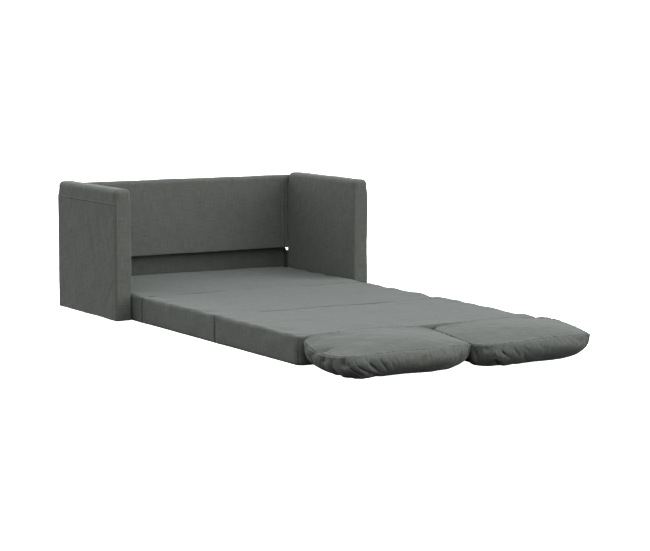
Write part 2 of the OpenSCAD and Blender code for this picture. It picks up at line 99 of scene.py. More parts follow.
class Grain(Enum):
    """Direction in which a timber's grain runs."""

    ACROSS = 0
    DEEP = 1
    UP = 2


# Colour and nodes


def linear(code: str) -> tuple[float, float, float, float]:
    """Turns an sRGB hex colour into linear red, green, blue and alpha.

    Args:
        code: Colour such as "#5b5f5b".

    Returns:
        The linear colour, with alpha 1.
    """
    rgb = np.array([int(code[i : i + 2], 16) for i in (1, 3, 5)]) / 255
    curve = np.where(rgb <= 0.04045, rgb / 12.92, ((rgb + 0.055) / 1.055) ** 2.4)
    return (*curve.tolist(), 1.0)


def add_node(
    tree: bpy.types.NodeTree, kind: str, inputs: dict | None = None, **settings: object
) -> bpy.types.Node:
    """Adds one shader node with its settings and links.

    Args:
        tree: Node tree that gets the node.
        kind: Node type without its ShaderNode prefix.
        inputs: For each input, a socket or a node to link, or a value to set.
        settings: Properties of the node.

    Returns:
        The new node.
    """
    node = tree.nodes.new("ShaderNode" + kind)
    for name, value in settings.items():
        setattr(node, name, value)
    for name, source in (inputs or {}).items():
        if isinstance(source, bpy.types.Node):
            source = source.outputs[0]
        if isinstance(source, bpy.types.NodeSocket):
            tree.links.new(source, node.inputs[name])
        else:
            node.inputs[name].default_value = source
    return node


def new_material(name: str) -> tuple[bpy.types.Material, bpy.types.NodeTree]:
    """Starts an empty material and returns it with its node tree."""
    material = bpy.data.materials.new(name)
    material.use_nodes = True
    material.node_tree.nodes.clear()
    return material, material.node_tree


def close_material(tree: bpy.types.NodeTree, inputs: dict) -> None:
    """Ends a material with a Principled shader and its output."""
    add_node(tree, "OutputMaterial", {"Surface": add_node(tree, "BsdfPrincipled", inputs)})


def stretched_noise(
    tree: bpy.types.NodeTree, place: Source, sizes: Sequence[float], detail: float
) -> bpy.types.Node:
    """Noise whose blotches have the given sizes along the three axes, in metres.

    Args:
        tree: Node tree.
        place: Coordinates in metres.
        sizes: Length of a blotch along each axis.
        detail: Octaves of finer noise.

    Returns:
        The noise, whose value runs from 0 to 1 around 0.5.
    """
    scale = tuple(1 / size for size in sizes)
    mapped = add_node(tree, "Mapping", {"Vector": place, "Scale": scale})
    return add_node(tree, "TexNoise", {"Vector": mapped, "Scale": 1.0, "Detail": detail})


# Finishes


@dataclass(frozen=True)
class Finish:
    """A material of two colours with a range of roughness and a relief, led by one noise."""

    name: str
    dark: str
    light: str
    grain: float  # size of a blotch
    detail: float  # octaves of finer noise
    rough: tuple[float, float]
    relief: tuple[float, float] | None = None  # strength and depth of the bump
    metallic: float = 0.0

    def label(self) -> str:
        """Name of the material."""
        return self.name

    def sizes(self) -> tuple[float, ...]:
        """Sizes of a blotch along the three axes."""
        return (self.grain,) * 3

    def material(self) -> bpy.types.Material:
        """Builds the material on Object coordinates."""
        material, tree = new_material(self.label())
        place = add_node(tree, "TexCoord").outputs["Object"]
        noise = stretched_noise(tree, place, self.sizes(), self.detail)
        self.close(tree, noise, {"Value": noise}, noise, {"Metallic": self.metallic})
        return material

    def close(
        self, tree: bpy.types.NodeTree, shade: Source, wear: dict, height: Source, more: dict
    ) -> None:
        """Ends the material with its colours, roughness and relief.

        Args:
            tree: Node tree.
            shade: Share of the light colour, from 0 to 1.
            wear: What leads the roughness, and its range.
            height: What leads the relief.
            more: Other inputs of the shader.
        """
        ends = {"Factor": shade, "A": linear(self.dark), "B": linear(self.light)}
        colour = add_node(tree, "Mix", ends, data_type="RGBA").outputs["Result"]
        low, high = self.rough
        rough = add_node(tree, "MapRange", {**wear, "To Min": low, "To Max": high})
        inputs = {"Base Color": colour, "Roughness": rough, **more}
        if self.relief:
            strength, depth = self.relief
            bump = {"Height": height, "Strength": strength, "Distance": depth}
            inputs["Normal"] = add_node(tree, "Bump", bump)
        close_material(tree, inputs)


@dataclass(frozen=True)
class WovenPolyester(Finish):
    """Linen-look polyester: plain weave of thick and thin yarns, matt, with a faint soft nap.

    The uneven yarns give short light and dark streaks along both thread directions.
    """

    name: str = "woven_polyester_dark_grey"
    dark: str = "#525450"
    light: str = "#696b68"
    grain: float = 60 * MM
    detail: float = 3.0
    rough: tuple[float, float] = (0.97, 0.86)
    relief: tuple[float, float] | None = (0.5, 0.35 * MM)
    thread: float = 1.6 * MM  # real pitch about 0.6 mm, drawn coarser so that it shows
    slub: float = 2.4 * MM
    slub_length: float = 55 * MM
    nap: float = 0.25
    nap_tint: str = "#c6cfd0"

    def material(self) -> bpy.types.Material:
        """Builds the cloth on the pieces' own UV map, which is in metres."""
        material, tree = new_material(self.name)
        uv = add_node(tree, "UVMap", uv_map=UV_NAME)
        weft = stretched_noise(tree, uv, (self.slub_length, self.slub, 1.0), 2.0)
        warp = stretched_noise(tree, uv, (self.slub, self.slub_length, 1.0), 2.0)
        both = add_node(tree, "Math", {0: weft, 1: warp}, operation="ADD")
        blotch = stretched_noise(tree, uv, (self.grain, self.grain, 1.0), self.detail)
        mixed = add_node(tree, "Math", {0: blotch, 1: 0.2, 2: both}, operation="MULTIPLY_ADD")
        shade = add_node(tree, "MapRange", {"Value": mixed, "From Min": 0.65, "From Max": 1.55})
        turns = (2 * np.pi / self.thread,) * 3
        turned = add_node(tree, "VectorMath", {0: uv, 1: turns}, operation="MULTIPLY")
        waves = add_node(tree, "VectorMath", {0: turned}, operation="SINE")
        rows = add_node(tree, "SeparateXYZ", {0: waves}).outputs
        weave = add_node(tree, "Math", {0: rows[0], 1: rows[1]}, operation="MULTIPLY")
        height = add_node(tree, "Math", {0: weave, 1: 0.25, 2: both}, operation="MULTIPLY_ADD")
        wear = {"Value": mixed, "From Min": 0.8, "From Max": 1.5}
        nap = {
            "Specular IOR Level": 0.25,
            "Sheen Weight": self.nap,
            "Sheen Roughness": 0.5,
            "Sheen Tint": linear(self.nap_tint),
        }
        self.close(tree, shade, wear, height, nap)
        return material


@dataclass(frozen=True)
class SpunLining(Finish):
    """Thin non-woven polypropylene: bonded by heat in small dots, flat and dull."""

    name: str = "bonded_lining_cloth"
    dark: str = "#2e302e"
    light: str = "#434643"
    grain: float = 14 * MM  # length of a tuft of fibres
    detail: float = 4.0
    rough: tuple[float, float] = (0.75, 0.9)
    relief: tuple[float, float] | None = (0.4, 0.2 * MM)
    tuft: float = 5 * MM  # its width
    dot: float = 2.4 * MM  # real dots about 1 mm, drawn coarser so that they show

    def material(self) -> bpy.types.Material:
        """Builds the lining on the pieces' own UV map, which is in metres."""
        material, tree = new_material(self.name)
        uv = add_node(tree, "UVMap", uv_map=UV_NAME)
        pattern = {"Vector": uv, "Scale": 1 / self.dot, "Randomness": 0.25}
        dots = add_node(tree, "TexVoronoi", pattern).outputs["Distance"]
        fibre = stretched_noise(tree, uv, (self.grain, self.tuft, 1.0), self.detail)
        self.close(tree, fibre, {"Value": fibre}, dots, {"Specular IOR Level": 0.3})
        return material


@dataclass(frozen=True)
class Timber(Finish):
    """Planed pine: pale, with darker growth lines along the board and a dull surface."""

    name: str = "planed_pine"
    dark: str = "#b08c5c"
    light: str = "#d4b78c"
    grain: float = 4 * MM  # between growth lines
    detail: float = 3.0
    rough: tuple[float, float] = (0.5, 0.75)
    relief: tuple[float, float] | None = (0.3, 0.2 * MM)
    way: Grain = Grain.UP
    length: float = 300 * MM

    def label(self) -> str:
        """Name of the material with its direction."""
        return f"{self.name}_grain_{self.way.name.lower()}"

    def sizes(self) -> tuple[float, ...]:
        """Sizes of a growth line along the three axes."""
        return tuple(self.length if k == self.way.value else self.grain for k in range(3))


@dataclass(frozen=True)
class StainedTimber(Timber):
    """Pine with a near-black stain, through which the growth lines just show."""

    name: str = "black_stained_pine"
    dark: str = "#45413d"
    light: str = "#5a5651"


@dataclass(frozen=True)
class Hardboard(Finish):
    """Pressed wood fibre: brown, speckled with short fibres, smooth and slightly shiny."""

    name: str = "pressed_hardboard"
    dark: str = "#74563a"
    light: str = "#9a7850"
    grain: float = 3 * MM
    detail: float = 4.0
    rough: tuple[float, float] = (0.4, 0.6)
    relief: tuple[float, float] | None = (0.2, 0.1 * MM)


@dataclass(frozen=True)
class ZincSteel(Finish):
    """Zinc-plated steel: bright grey, softly clouded by the plating bath."""

    name: str = "zinc_plated_steel"
    dark: str = "#a2a6ab"
    light: str = "#c9ccd0"
    grain: float = 5 * MM
    detail: float = 3.0
    rough: tuple[float, float] = (0.28, 0.45)
    metallic: float = 1.0


@dataclass(frozen=True)
class MouldedPlastic(Finish):
    """Injection-moulded polyethylene glide: near black, with a fine spark-eroded grain."""

    name: str = "moulded_polyethylene"
    dark: str = "#202024"
    light: str = "#2e2e33"
    grain: float = 0.8 * MM
    detail: float = 2.0
    rough: tuple[float, float] = (0.45, 0.6)
    relief: tuple[float, float] | None = (0.2, 0.05 * MM)


@dataclass(frozen=True)
class SewingThread(Finish):
    """Spun polyester thread: a shade lighter than the cloth, twisted, dull."""

    name: str = "spun_polyester_thread"
    dark: str = "#666a66"
    light: str = "#858985"
    grain: float = 0.9 * MM
    detail: float = 2.0
    rough: tuple[float, float] = (0.6, 0.85)


# Surfaces


@dataclass
class Surface:
    """Closed or open surface of quads, with a UV map in metres."""

    points: Array
    quads: Array
    uv: Array

    def normals(self) -> Array:
        """Unit normal at each point: the sum of the diagonal products of its quads."""
        a, b, c, d = (self.points[self.quads[:, k]] for k in range(4))
        face = np.cross(c - a, d - b)
        flat = self.quads.ravel()
        spread = np.repeat(face, 4, axis=0)
        total = np.stack(
            [np.bincount(flat, spread[:, k], len(self.points)) for k in range(3)], axis=1
        )
        return total / np.maximum(np.linalg.norm(total, axis=1, keepdims=True), 1e-12)

    def moved(self, points: Array) -> "Surface":
        """The surface with its points at other places."""
        return Surface(points, self.quads, self.uv)

    def pushed(self, amount: Array) -> "Surface":
        """The surface with each point moved out along its normal by amount."""
        return self.moved(self.points + self.normals() * amount[:, None])

    def mirrored(self) -> "Surface":
        """The surface mirrored in X, still with its faces outwards."""
        return Surface(self.points * (-1, 1, 1), self.quads[:, ::-1], self.uv[:, ::-1])

    def piece(self, name: str, material: bpy.types.Material | None) -> bpy.types.Object:
        """Makes a smooth shaded object of the surface.

        Args:
            name: Name of the object and its mesh.
            material: Its finish, or None for a shape in work.

        Returns:
            The object, at the origin.
        """
        mesh = bpy.data.meshes.new(name)
        mesh.from_pydata(self.points.tolist(), [], self.quads.tolist())
        layer = mesh.uv_layers.new(name=UV_NAME)
        layer.data.foreach_set("uv", self.uv.astype(np.float32).ravel())
        mesh.polygons.foreach_set("use_smooth", np.ones(len(self.quads), bool))
        if material:
            mesh.materials.append(material)
        mesh.update()
        made = bpy.data.objects.new(name, mesh)
        bpy.context.scene.collection.objects.link(made)
        return made


def graded(low: float, high: float, step: float, marks: Marks) -> Array:
    """Lattice lines from low to high that crowd round the marks.

    The number of lines up to a place is the integral of their density, one over the step,
    which rises to one over the fine step at a mark and falls off as a bell curve. The lines
    stand where that integral is a whole number.

    Args:
        low: First line.
        high: Last line.
        step: Usual distance between lines.
        marks: For each mark, its place, the half width of its bell and the fine step.

    Returns:
        The lines in order.
    """
    x = np.linspace(low, high, 6000)
    density = np.full_like(x, 1 / step)
    for place, width, fine in marks:
        density = np.maximum(density, np.exp(-(((x - place) / width) ** 2)) / fine)
    growth = (density[1:] + density[:-1]) / 2 * np.diff(x)
    count = np.concatenate([[0.0], np.cumsum(growth)])
    steps = int(np.ceil(count[-1]))
    return np.interp(np.linspace(0, count[-1], steps + 1), count, x)


def lattice(lines: Sequence[Array]) -> Surface:
    """Surface of a block as a lattice through three sets of lines.

    Each face is the product of two of the sets at an end of the third. A point is numbered by
    its place in the three sets, so that points on shared edges are one.

    Args:
        lines: Coordinates of the lines along X, Y and Z.

    Returns:
        The closed surface, with faces outwards and the lines' own coordinates as UV.
    """
    counts = [len(line) for line in lines]
    ring = np.array([(0, 0), (1, 0), (1, 1), (0, 1)])
    places, uvs = [], []
    for axis in range(3):
        a, b = (k for k in range(3) if k != axis)
        i, j = np.meshgrid(np.arange(counts[a] - 1), np.arange(counts[b] - 1), indexing="ij")
        for last in (False, True):
            place = np.zeros((i.size, 4, 3), int)
            place[..., axis] = counts[axis] - 1 if last else 0
            place[..., a] = i.reshape(-1, 1) + ring[:, 0]
            place[..., b] = j.reshape(-1, 1) + ring[:, 1]
            uv = np.stack([lines[a][place[..., a]], lines[b][place[..., b]]], axis=-1)
            turned = last == (axis == 1)
            places.append(place[:, ::-1] if turned else place)
            uvs.append(uv[:, ::-1] if turned else uv)
    place = np.concatenate(places)
    number = (place[..., 0] * counts[1] + place[..., 1]) * counts[2] + place[..., 2]
    unique, quads = np.unique(number.ravel(), return_inverse=True)
    x, rest = np.divmod(unique, counts[1] * counts[2])
    y, z = np.divmod(rest, counts[2])
    points = np.stack([lines[0][x], lines[1][y], lines[2][z]], axis=1)
    return Surface(points, quads.reshape(-1, 4), np.concatenate(uvs))


def block(low: Array, high: Array, steps: Sequence[float], marks: Sequence[Marks]) -> Surface:
    """Lattice of a box whose lines crowd round the marks of each axis, as graded says."""
    return lattice([graded(*axis) for axis in zip(low, high, steps, marks)])


def rounded(points: Array, low: Array, high: Array, radii: Array) -> Array:
    """Rounds the edges and corners of a block's lattice.

    What of a point lies beyond the core, which is the block less its radii, is divided by the
    radii, brought to length one and multiplied by them again, so it lies on an ellipsoid.

    Args:
        points: Points on the block.
        low: Lowest corner of the block.
        high: Highest corner of the block.
        radii: Radius along each axis, for each point.

    Returns:
        The rounded points.
    """
    core = np.clip(points, low + radii, high - radii)
    out = (points - core) / radii
    length = np.maximum(np.linalg.norm(out, axis=1, keepdims=True), 1e-9)
    return core + out / length * radii


def plan_corners(points: Array, low: Array, high: Array, radius: Array) -> Array:
    """Rounds the upright corners of a block, seen from above.

    In the square of side radius at a corner, the square rings become round ones: the offset
    from the square's inner corner keeps its direction, and its longer part is its length.

    Args:
        points: Points of the block.
        low: Lowest corner of the block.
        high: Highest corner of the block.
        radius: Radius of the corner nearest to each point.

    Returns:
        The points with round corners.
    """
    r = radius[:, None]
    core = np.clip(points[:, :2], low[:2] + r, high[:2] - r)
    out = points[:, :2] - core
    length = np.maximum(np.linalg.norm(out, axis=1, keepdims=True), 1e-9)
    longer = np.abs(out).max(axis=1, keepdims=True)
    return np.column_stack([core + out / length * longer, points[:, 2]])


def ripple(points: Array, wavelength: float, seed: int, waves: int = 26) -> Array:
    """Smooth random relief with a spread of about one.

    It is the sum of sine waves in random directions, with wavelengths near the given one.

    Args:
        points: Where it is wanted.
        wavelength: Usual distance between crests.
        seed: Start of the random numbers.
        waves: Number of sine waves.

    Returns:
        The relief at each point.
    """
    rng = np.random.default_rng(seed)
    way = rng.normal(size=(waves, points.shape[1]))
    way /= np.linalg.norm(way, axis=1, keepdims=True)
    way *= 2 * np.pi / (wavelength * rng.uniform(0.7, 1.6, (waves, 1)))
    phase = rng.uniform(0, 2 * np.pi, waves)
    return np.sin(points @ way.T + phase).sum(axis=1) / np.sqrt(waves / 2)


def waves(points: Array, sizes: Waves, seed: int) -> Array:
    """Sum of ripples, each with its height and wavelength, with seeds from the given one up."""
    return sum(high * ripple(points, length, seed + k) for k, (high, length) in enumerate(sizes))


def bell(offset: Array, width: float) -> Array:
    """Bell curve of height one: the exponential of minus the squared share of the width."""
    return np.exp(-((offset / width) ** 2))


def ease(x: Array, low: float, high: float) -> Array:
    """Smooth step from zero at low to one at high."""
    t = np.clip((x - low) / (high - low), 0, 1)
    return t * t * (3 - 2 * t)


def crease(plane: Array, start: Sequence[float], end: Sequence[float], width: float) -> Array:
    """Valley between two soft ridges, along a line, fading out at its ends.

    Across the line it is minus a bell curve times one less twice the squared offset.

    Args:
        plane: Points in the plane of the face.
        start: First end of the line.
        end: Other end of the line.
        width: Half width of the valley.

    Returns:
        Relief from minus one in the valley.
    """
    a = np.array(start)
    along = np.array(end) - a
    size = np.linalg.norm(along)
    t = (plane - a) @ along / size**2
    across = ((plane - a) @ np.array([-along[1], along[0]]) / size) / width
    fade = ease(t, -0.05, 0.3) * (1 - ease(t, 0.7, 1.05))
    return -(1 - 2 * across**2) * np.exp(-(across**2)) * fade


def coordinates(mesh: bpy.types.Mesh) -> Array:
    """Vertex places of a mesh as an array."""
    flat = np.empty(len(mesh.vertices) * 3)
    mesh.vertices.foreach_get("co", flat)
    return flat.reshape(-1, 3)


def spread_out(values: Array, quads: Array, rounds: int) -> Array:
    """Low-passes values on a surface: each round averages them over the quads at a point."""
    flat = quads.ravel()
    count = np.bincount(flat)[:, None]
    for _ in range(rounds):
        faces = np.repeat(values[quads].mean(axis=1), 4, axis=0)
        values = np.stack([np.bincount(flat, faces[:, k]) for k in range(3)], axis=1) / count
    return values


@dataclass(frozen=True)
class Slack:
    """How loose cloth is blown up: pressure, spare cloth, longest move and time."""

    pressure: float = 4.0
    spare: float = 0.09  # share by which the cloth is larger than the form
    cap: float = 7 * MM
    rounds: int = 60  # averaging rounds that tell the wrinkles from the form
    frames: int = 20
    stiffness: float = 0.5

    def worn(self, surface: Surface, held: Array, loose: Array) -> Surface:
        """Lays wrinkled cloth over a plain shape with Cloth, and refines it once.

        Pressure without gravity stretches cloth that has grown by the spare share. From each
        point's move its average over the area round it is taken off, so the plain shape stays
        and its wrinkles remain.

        Args:
            surface: Closed plain shape.
            held: Share with which each point is held in its place.
            loose: Share of the spare cloth at each point.

        Returns:
            The refined surface.
        """
        piece = surface.piece("shape_in_work", None)
        self.simulate(piece, held, loose)
        move = coordinates(piece.data) - surface.points
        move -= spread_out(move, surface.quads, self.rounds)
        length = np.maximum(np.linalg.norm(move, axis=1, keepdims=True), 1e-9)
        move *= np.minimum(1, self.cap / length)
        piece.data.vertices.foreach_set("co", (surface.points + move).ravel())
        LOG.info("wrinkles of %.2f mm on average", np.minimum(length, self.cap).mean() / MM)
        refine = piece.modifiers.new("refine", "SUBSURF")
        refine.levels = refine.render_levels = 1
        fine = piece.evaluated_get(bpy.context.evaluated_depsgraph_get()).to_mesh()
        loops = np.empty(len(fine.loops), np.int32)
        fine.loops.foreach_get("vertex_index", loops)
        uv = np.empty(len(fine.loops) * 2)
        fine.uv_layers[UV_NAME].data.foreach_get("uv", uv)
        made = Surface(coordinates(fine), loops.reshape(-1, 4), uv.reshape(-1, 2))
        bpy.data.meshes.remove(piece.data)
        return made

    def simulate(self, piece: bpy.types.Object, held: Array, loose: Array) -> None:
        """Runs Cloth on a piece and keeps its last frame as the piece's mesh."""
        scene = bpy.context.scene
        for name, shares in (("held", held), ("loose", loose)):
            group = piece.vertex_groups.new(name=name)
            for level in np.unique(np.round(shares, 1)):
                chosen = np.flatnonzero(np.round(shares, 1) == level).tolist()
                group.add(chosen, float(level), "REPLACE")
        cloth = piece.modifiers.new("cloth", "CLOTH")
        settings = cloth.settings
        settings.use_pressure = True
        settings.uniform_pressure_force = self.pressure
        settings.effector_weights.gravity = 0
        settings.vertex_group_mass = "held"
        settings.vertex_group_shrink = "loose"
        settings.shrink_min, settings.shrink_max = 0.0, -self.spare
        settings.bending_stiffness = self.stiffness
        cloth.point_cache.frame_end = self.frames
        for frame in range(1, self.frames + 1):
            scene.frame_set(frame)
        blown = piece.evaluated_get(bpy.context.evaluated_depsgraph_get()).to_mesh()
        points = coordinates(blown)
        piece.modifiers.clear()
        scene.frame_set(1)
        piece.data.vertices.foreach_set("co", points.ravel())


# Building and dressing


class Shop:
    """The finishes in use, and the way in which a new piece is put on the model."""

    def __init__(self) -> None:
        """Makes the materials."""
        # The recess cloth is a darker copy of the cover cloth: painted shade for the low board,
        # which sits in the shadow of the recess under the back panel.
        recess = WovenPolyester("woven_polyester_recess_grey", "#474945", "#5b5e5a")
        self.cloth = WovenPolyester().material()
        self.painted_shade_cloth = recess.material()
        self.lining = SpunLining().material()
        self.steel = ZincSteel().material()
        self.plastic = MouldedPlastic().material()
        self.hardboard = Hardboard().material()
        self.thread = SewingThread().material()
        self.stained = StainedTimber().material()
        self.timber = {way: Timber(way=way).material() for way in Grain}

    def put(
        self, piece: bpy.types.Object, body: str, slot: str | None, replaced: Sequence[str] = ()
    ) -> None:
        """Rides a piece on its body and hides what it stands for."""
        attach(piece, body)
        if replaced:
            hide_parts(*replaced)
        LOG.info("%s: %d faces on %s", piece.name, len(piece.data.polygons), body)

    def pad(
        self, made: Surface, name: str, body: str, fill: float, replaced: Sequence[str]
    ) -> None:
        """Puts on a padded cover of the main cloth."""
        piece = made.piece(f"{name}_sewn_cover", self.cloth)
        self.put(piece, body, "cover_fabric", replaced)


def node_box(node: str) -> tuple[Array, Array]:
    """Lowest and highest corner of a CAD node as arrays."""
    low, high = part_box(node)
    return np.array(low), np.array(high)


def copies(shape: Surface, places: Array, frames: Array) -> Surface:
    """Repeats a small shape at the places, with its three axes along each frame's rows."""
    points = np.einsum("pi,nij->npj", shape.points, frames) + places[:, None]
    quads = shape.quads + (np.arange(len(places)) * len(shape.points))[:, None, None]
    return Surface(
        points.reshape(-1, 3), quads.reshape(-1, 4), np.tile(shape.uv, (len(places), 1))
    )


@dataclass(frozen=True)
class Stitches:
    """Lockstitches along a seam: short pieces of thread that sink in at both ends."""

    length: float = 4.2 * MM
    pitch: float = 5.2 * MM
    width: float = 0.8 * MM
    dip: float = 0.4 * MM

    def along(self, path: Array, outward: Array) -> Surface:
        """Lays stitches on a path.

        Args:
            path: Dense points on the cloth along the seam, in order.
            outward: Direction out of the cloth.

        Returns:
            All the stitches as one surface.
        """
        steps = np.linalg.norm(np.diff(path, axis=0), axis=1)
        length = np.concatenate([[0.0], np.cumsum(steps)])
        marks = np.arange(self.pitch, length[-1] - self.pitch, self.pitch)
        places = np.stack([np.interp(marks, length, column) for column in path.T], axis=1)
        ahead = np.stack([np.interp(marks + MM, length, column) for column in path.T], axis=1)
        way = ahead - places
        way /= np.linalg.norm(way, axis=1, keepdims=True)
        side = np.cross(np.broadcast_to(outward, way.shape), way)
        side /= np.linalg.norm(side, axis=1, keepdims=True)
        return copies(self.one(), places, np.stack([way, side, np.cross(way, side)], axis=1))

    def one(self) -> Surface:
        """One stitch about its middle: a thin block that tapers and dips towards its ends."""
        half = self.length / 2
        across = np.array([-self.width, self.width]) / 2
        raw = lattice([half * np.array([-1, -0.6, 0.6, 1]), across, across])
        end = np.abs(raw.points[:, :1]) / half > 0.9
        points = raw.points * np.where(end, (1, 0.5, 0.5), (1, 1, 1)) - end * (0, 0, self.dip)
        return raw.moved(points)


@dataclass
class Arm:
    """Padded arm: one sewn cover with a top-stitched seam and a front border."""

    shop: Shop
    side: Side
    step: float = 6 * MM
    edge_radius: float = 10 * MM
    top_radius: float = 20 * MM
    corner_radius: float = 22 * MM
    rear_radius: float = 4 * MM
    seam_drop: float = 66 * MM  # top-stitched seam below the top of the arm
    border: float = 12 * MM  # front seam behind the front edge
    second: float = 31 * MM  # inner line of the front seam's allowance
    seam_width: float = 1.7 * MM
    seam_gap: float = 2 * MM  # of its valley below and its roll above the seam's line
    valley: float = 0.8 * MM
    roll: float = 1.3 * MM
    roll_width: float = 2.6 * MM
    border_depth: float = 1.0 * MM
    second_depth: float = 0.7 * MM
    piping: float = 13 * MM  # seam on the front face inside the outer edge
    piping_depth: float = 0.9 * MM
    thread_lift: float = 0.2 * MM
    padding: Waves = ((0.5 * MM, 0.17), (0.18 * MM, 0.034))

    def __post_init__(self) -> None:
        """Reads the arm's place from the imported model, as if it were the right arm."""
        self.prefix = f"{self.side.name.lower()}_arm"
        self.low, self.high = node_box(self.prefix + "_cover")
        if self.side is Side.LEFT:
            self.low[0], self.high[0] = -self.high[0], -self.low[0]
        self.seed = 10 if self.side is Side.LEFT else 20

    def folds(self) -> list[tuple[tuple[float, float], tuple[float, float], float, float]]:
        """Tension folds on the outer face: start and end (y, z), half width and depth."""
        front, rear, top = self.low[1], self.high[1], self.high[2]
        return [
            ((front + 0.20, top - 0.08), (front + 0.07, top - 0.33), 0.024, 0.8 * MM),
            ((front + 0.27, top - 0.10), (front + 0.17, top - 0.40), 0.030, 0.7 * MM),
            ((rear - 0.05, 0.09), (rear - 0.20, 0.015), 0.018, 1.2 * MM),
            ((rear - 0.02, 0.20), (rear - 0.16, 0.06), 0.026, 0.8 * MM),
            ((front + 0.03, 0.16), (front + 0.12, 0.02), 0.016, 0.7 * MM),
        ]

    def relief(self, points: Array, normals: Array) -> Array:
        """Height of the cover over its plain shape: padding, seams and folds.

        Args:
            points: Points on the plain right-hand shape.
            normals: Their normals.

        Returns:
            Outward distance at each point.
        """
        outer = np.clip(normals[:, 0], 0, 1) ** 2
        front = np.clip(-normals[:, 1], 0, 1) ** 2
        below = points[:, 2] - (self.high[2] - self.seam_drop)
        behind = points[:, 1] - self.low[1]
        push = waves(points, self.padding, self.seed)
        push -= outer * self.valley * bell(below + self.seam_gap, self.seam_width)
        push += outer * self.roll * bell(below - self.seam_gap, self.roll_width)
        lower = 1 - ease(points[:, 2], self.high[2] - 0.075, self.high[2] - 0.055)
        push -= outer * self.border_depth * bell(behind - self.border, self.seam_width)
        push -= outer * lower * self.second_depth * bell(behind - self.second, self.seam_width)
        inset = self.high[0] - points[:, 0]
        push -= front * self.piping_depth * bell(inset - self.piping, self.seam_width)
        plane = points[:, 1:]
        for start, end, width, depth in self.folds():
            push += outer * depth * crease(plane, start, end, width)
        across = points[:, ::2]
        centre = (self.low[0] + self.high[0]) / 2
        for drop, depth in ((0.13, 0.8), (0.16, 1.0), (0.175, 0.7)):
            start = (centre + 0.030, self.high[2] - drop)
            end = (centre + 0.002, self.high[2] - drop - 0.012)
            push += front * depth * MM * crease(across, start, end, 4 * MM)
        rear = np.clip(normals[:, 1], 0, 1)
        return push * (1 - rear)

    def shape(self) -> Surface:
        """Rounded block with crowded lattice lines along its edges and seams."""
        low, high = self.low, self.high
        ys = [(low[1], 14 * MM, 2 * MM), (high[1], 6 * MM, 1.5 * MM)]
        ys += [(low[1] + inset, 5 * MM, 1.4 * MM) for inset in (self.border, self.second)]
        zs = [(high[2], 24 * MM, 2.4 * MM), (low[2], 4 * MM, 1.2 * MM)]
        zs += [(high[2] - self.seam_drop, 8 * MM, 1.2 * MM)]
        xs = [(low[0], 12 * MM, 2 * MM), (high[0], 14 * MM, 1.6 * MM)]
        raw = block(low, high, (self.step,) * 3, (xs, ys, zs))
        p = raw.points
        up = ease(p[:, 2], high[2] - 0.07, high[2] - 0.03)
        down = 1 - ease(p[:, 2], low[2], low[2] + 0.02)
        back = ease(p[:, 1], high[1] - 0.05, high[1] - 0.02)
        plain = self.edge_radius + (self.rear_radius - self.edge_radius) * back
        rx = plain + (self.top_radius - plain) * up
        ry = plain + (self.corner_radius - plain) * up
        ends = 1 - ease(np.minimum(p[:, 1] - low[1], high[1] - p[:, 1]), 0.02, 0.07)
        rz = self.top_radius + (self.corner_radius - self.top_radius) * ends
        rz = np.where(down > 0, 3 * MM, rz)
        radii = np.stack([rx, ry, rz], axis=1)
        return raw.moved(rounded(p, low, high, radii))

    def seam(self, start: Sequence[float], end: Sequence[float]) -> Surface:
        """Stitches on the outer face, on the straight line between two places (y, z)."""
        share = np.linspace(0, 1, 400)[:, None]
        plane = np.array(start) + (np.array(end) - np.array(start)) * share
        points = np.column_stack([np.full(len(plane), self.high[0]), plane])
        outward = np.array([1.0, 0.0, 0.0])
        push = self.relief(points, np.broadcast_to(outward, points.shape))
        points[:, 0] += push + self.thread_lift
        return Stitches().along(points, outward)

    def build(self) -> None:
        """Makes the cover and its stitches."""
        shape = self.shape()
        made = shape.pushed(self.relief(shape.points, shape.normals()))
        low, high = self.low, self.high
        level, front = high[2] - self.seam_drop - 4 * MM, low[1] + self.border
        sewn = [
            self.seam((front, level), (high[1] - 12 * MM, level)),
            self.seam((front, low[2] + 12 * MM), (front, high[2] - self.seam_drop)),
        ]
        if self.side is Side.LEFT:
            made, sewn = made.mirrored(), [line.mirrored() for line in sewn]
        replaced = (f"{self.prefix}_cover", f"{self.prefix}_foam")
        self.shop.pad(made, self.prefix, "sofa_frame", 0.95, replaced)
        for name, line in zip(("top", "front"), sewn):
            thread = line.piece(f"{self.prefix}_{name}_stitches", self.shop.thread)
            self.shop.put(thread, "sofa_frame", None)


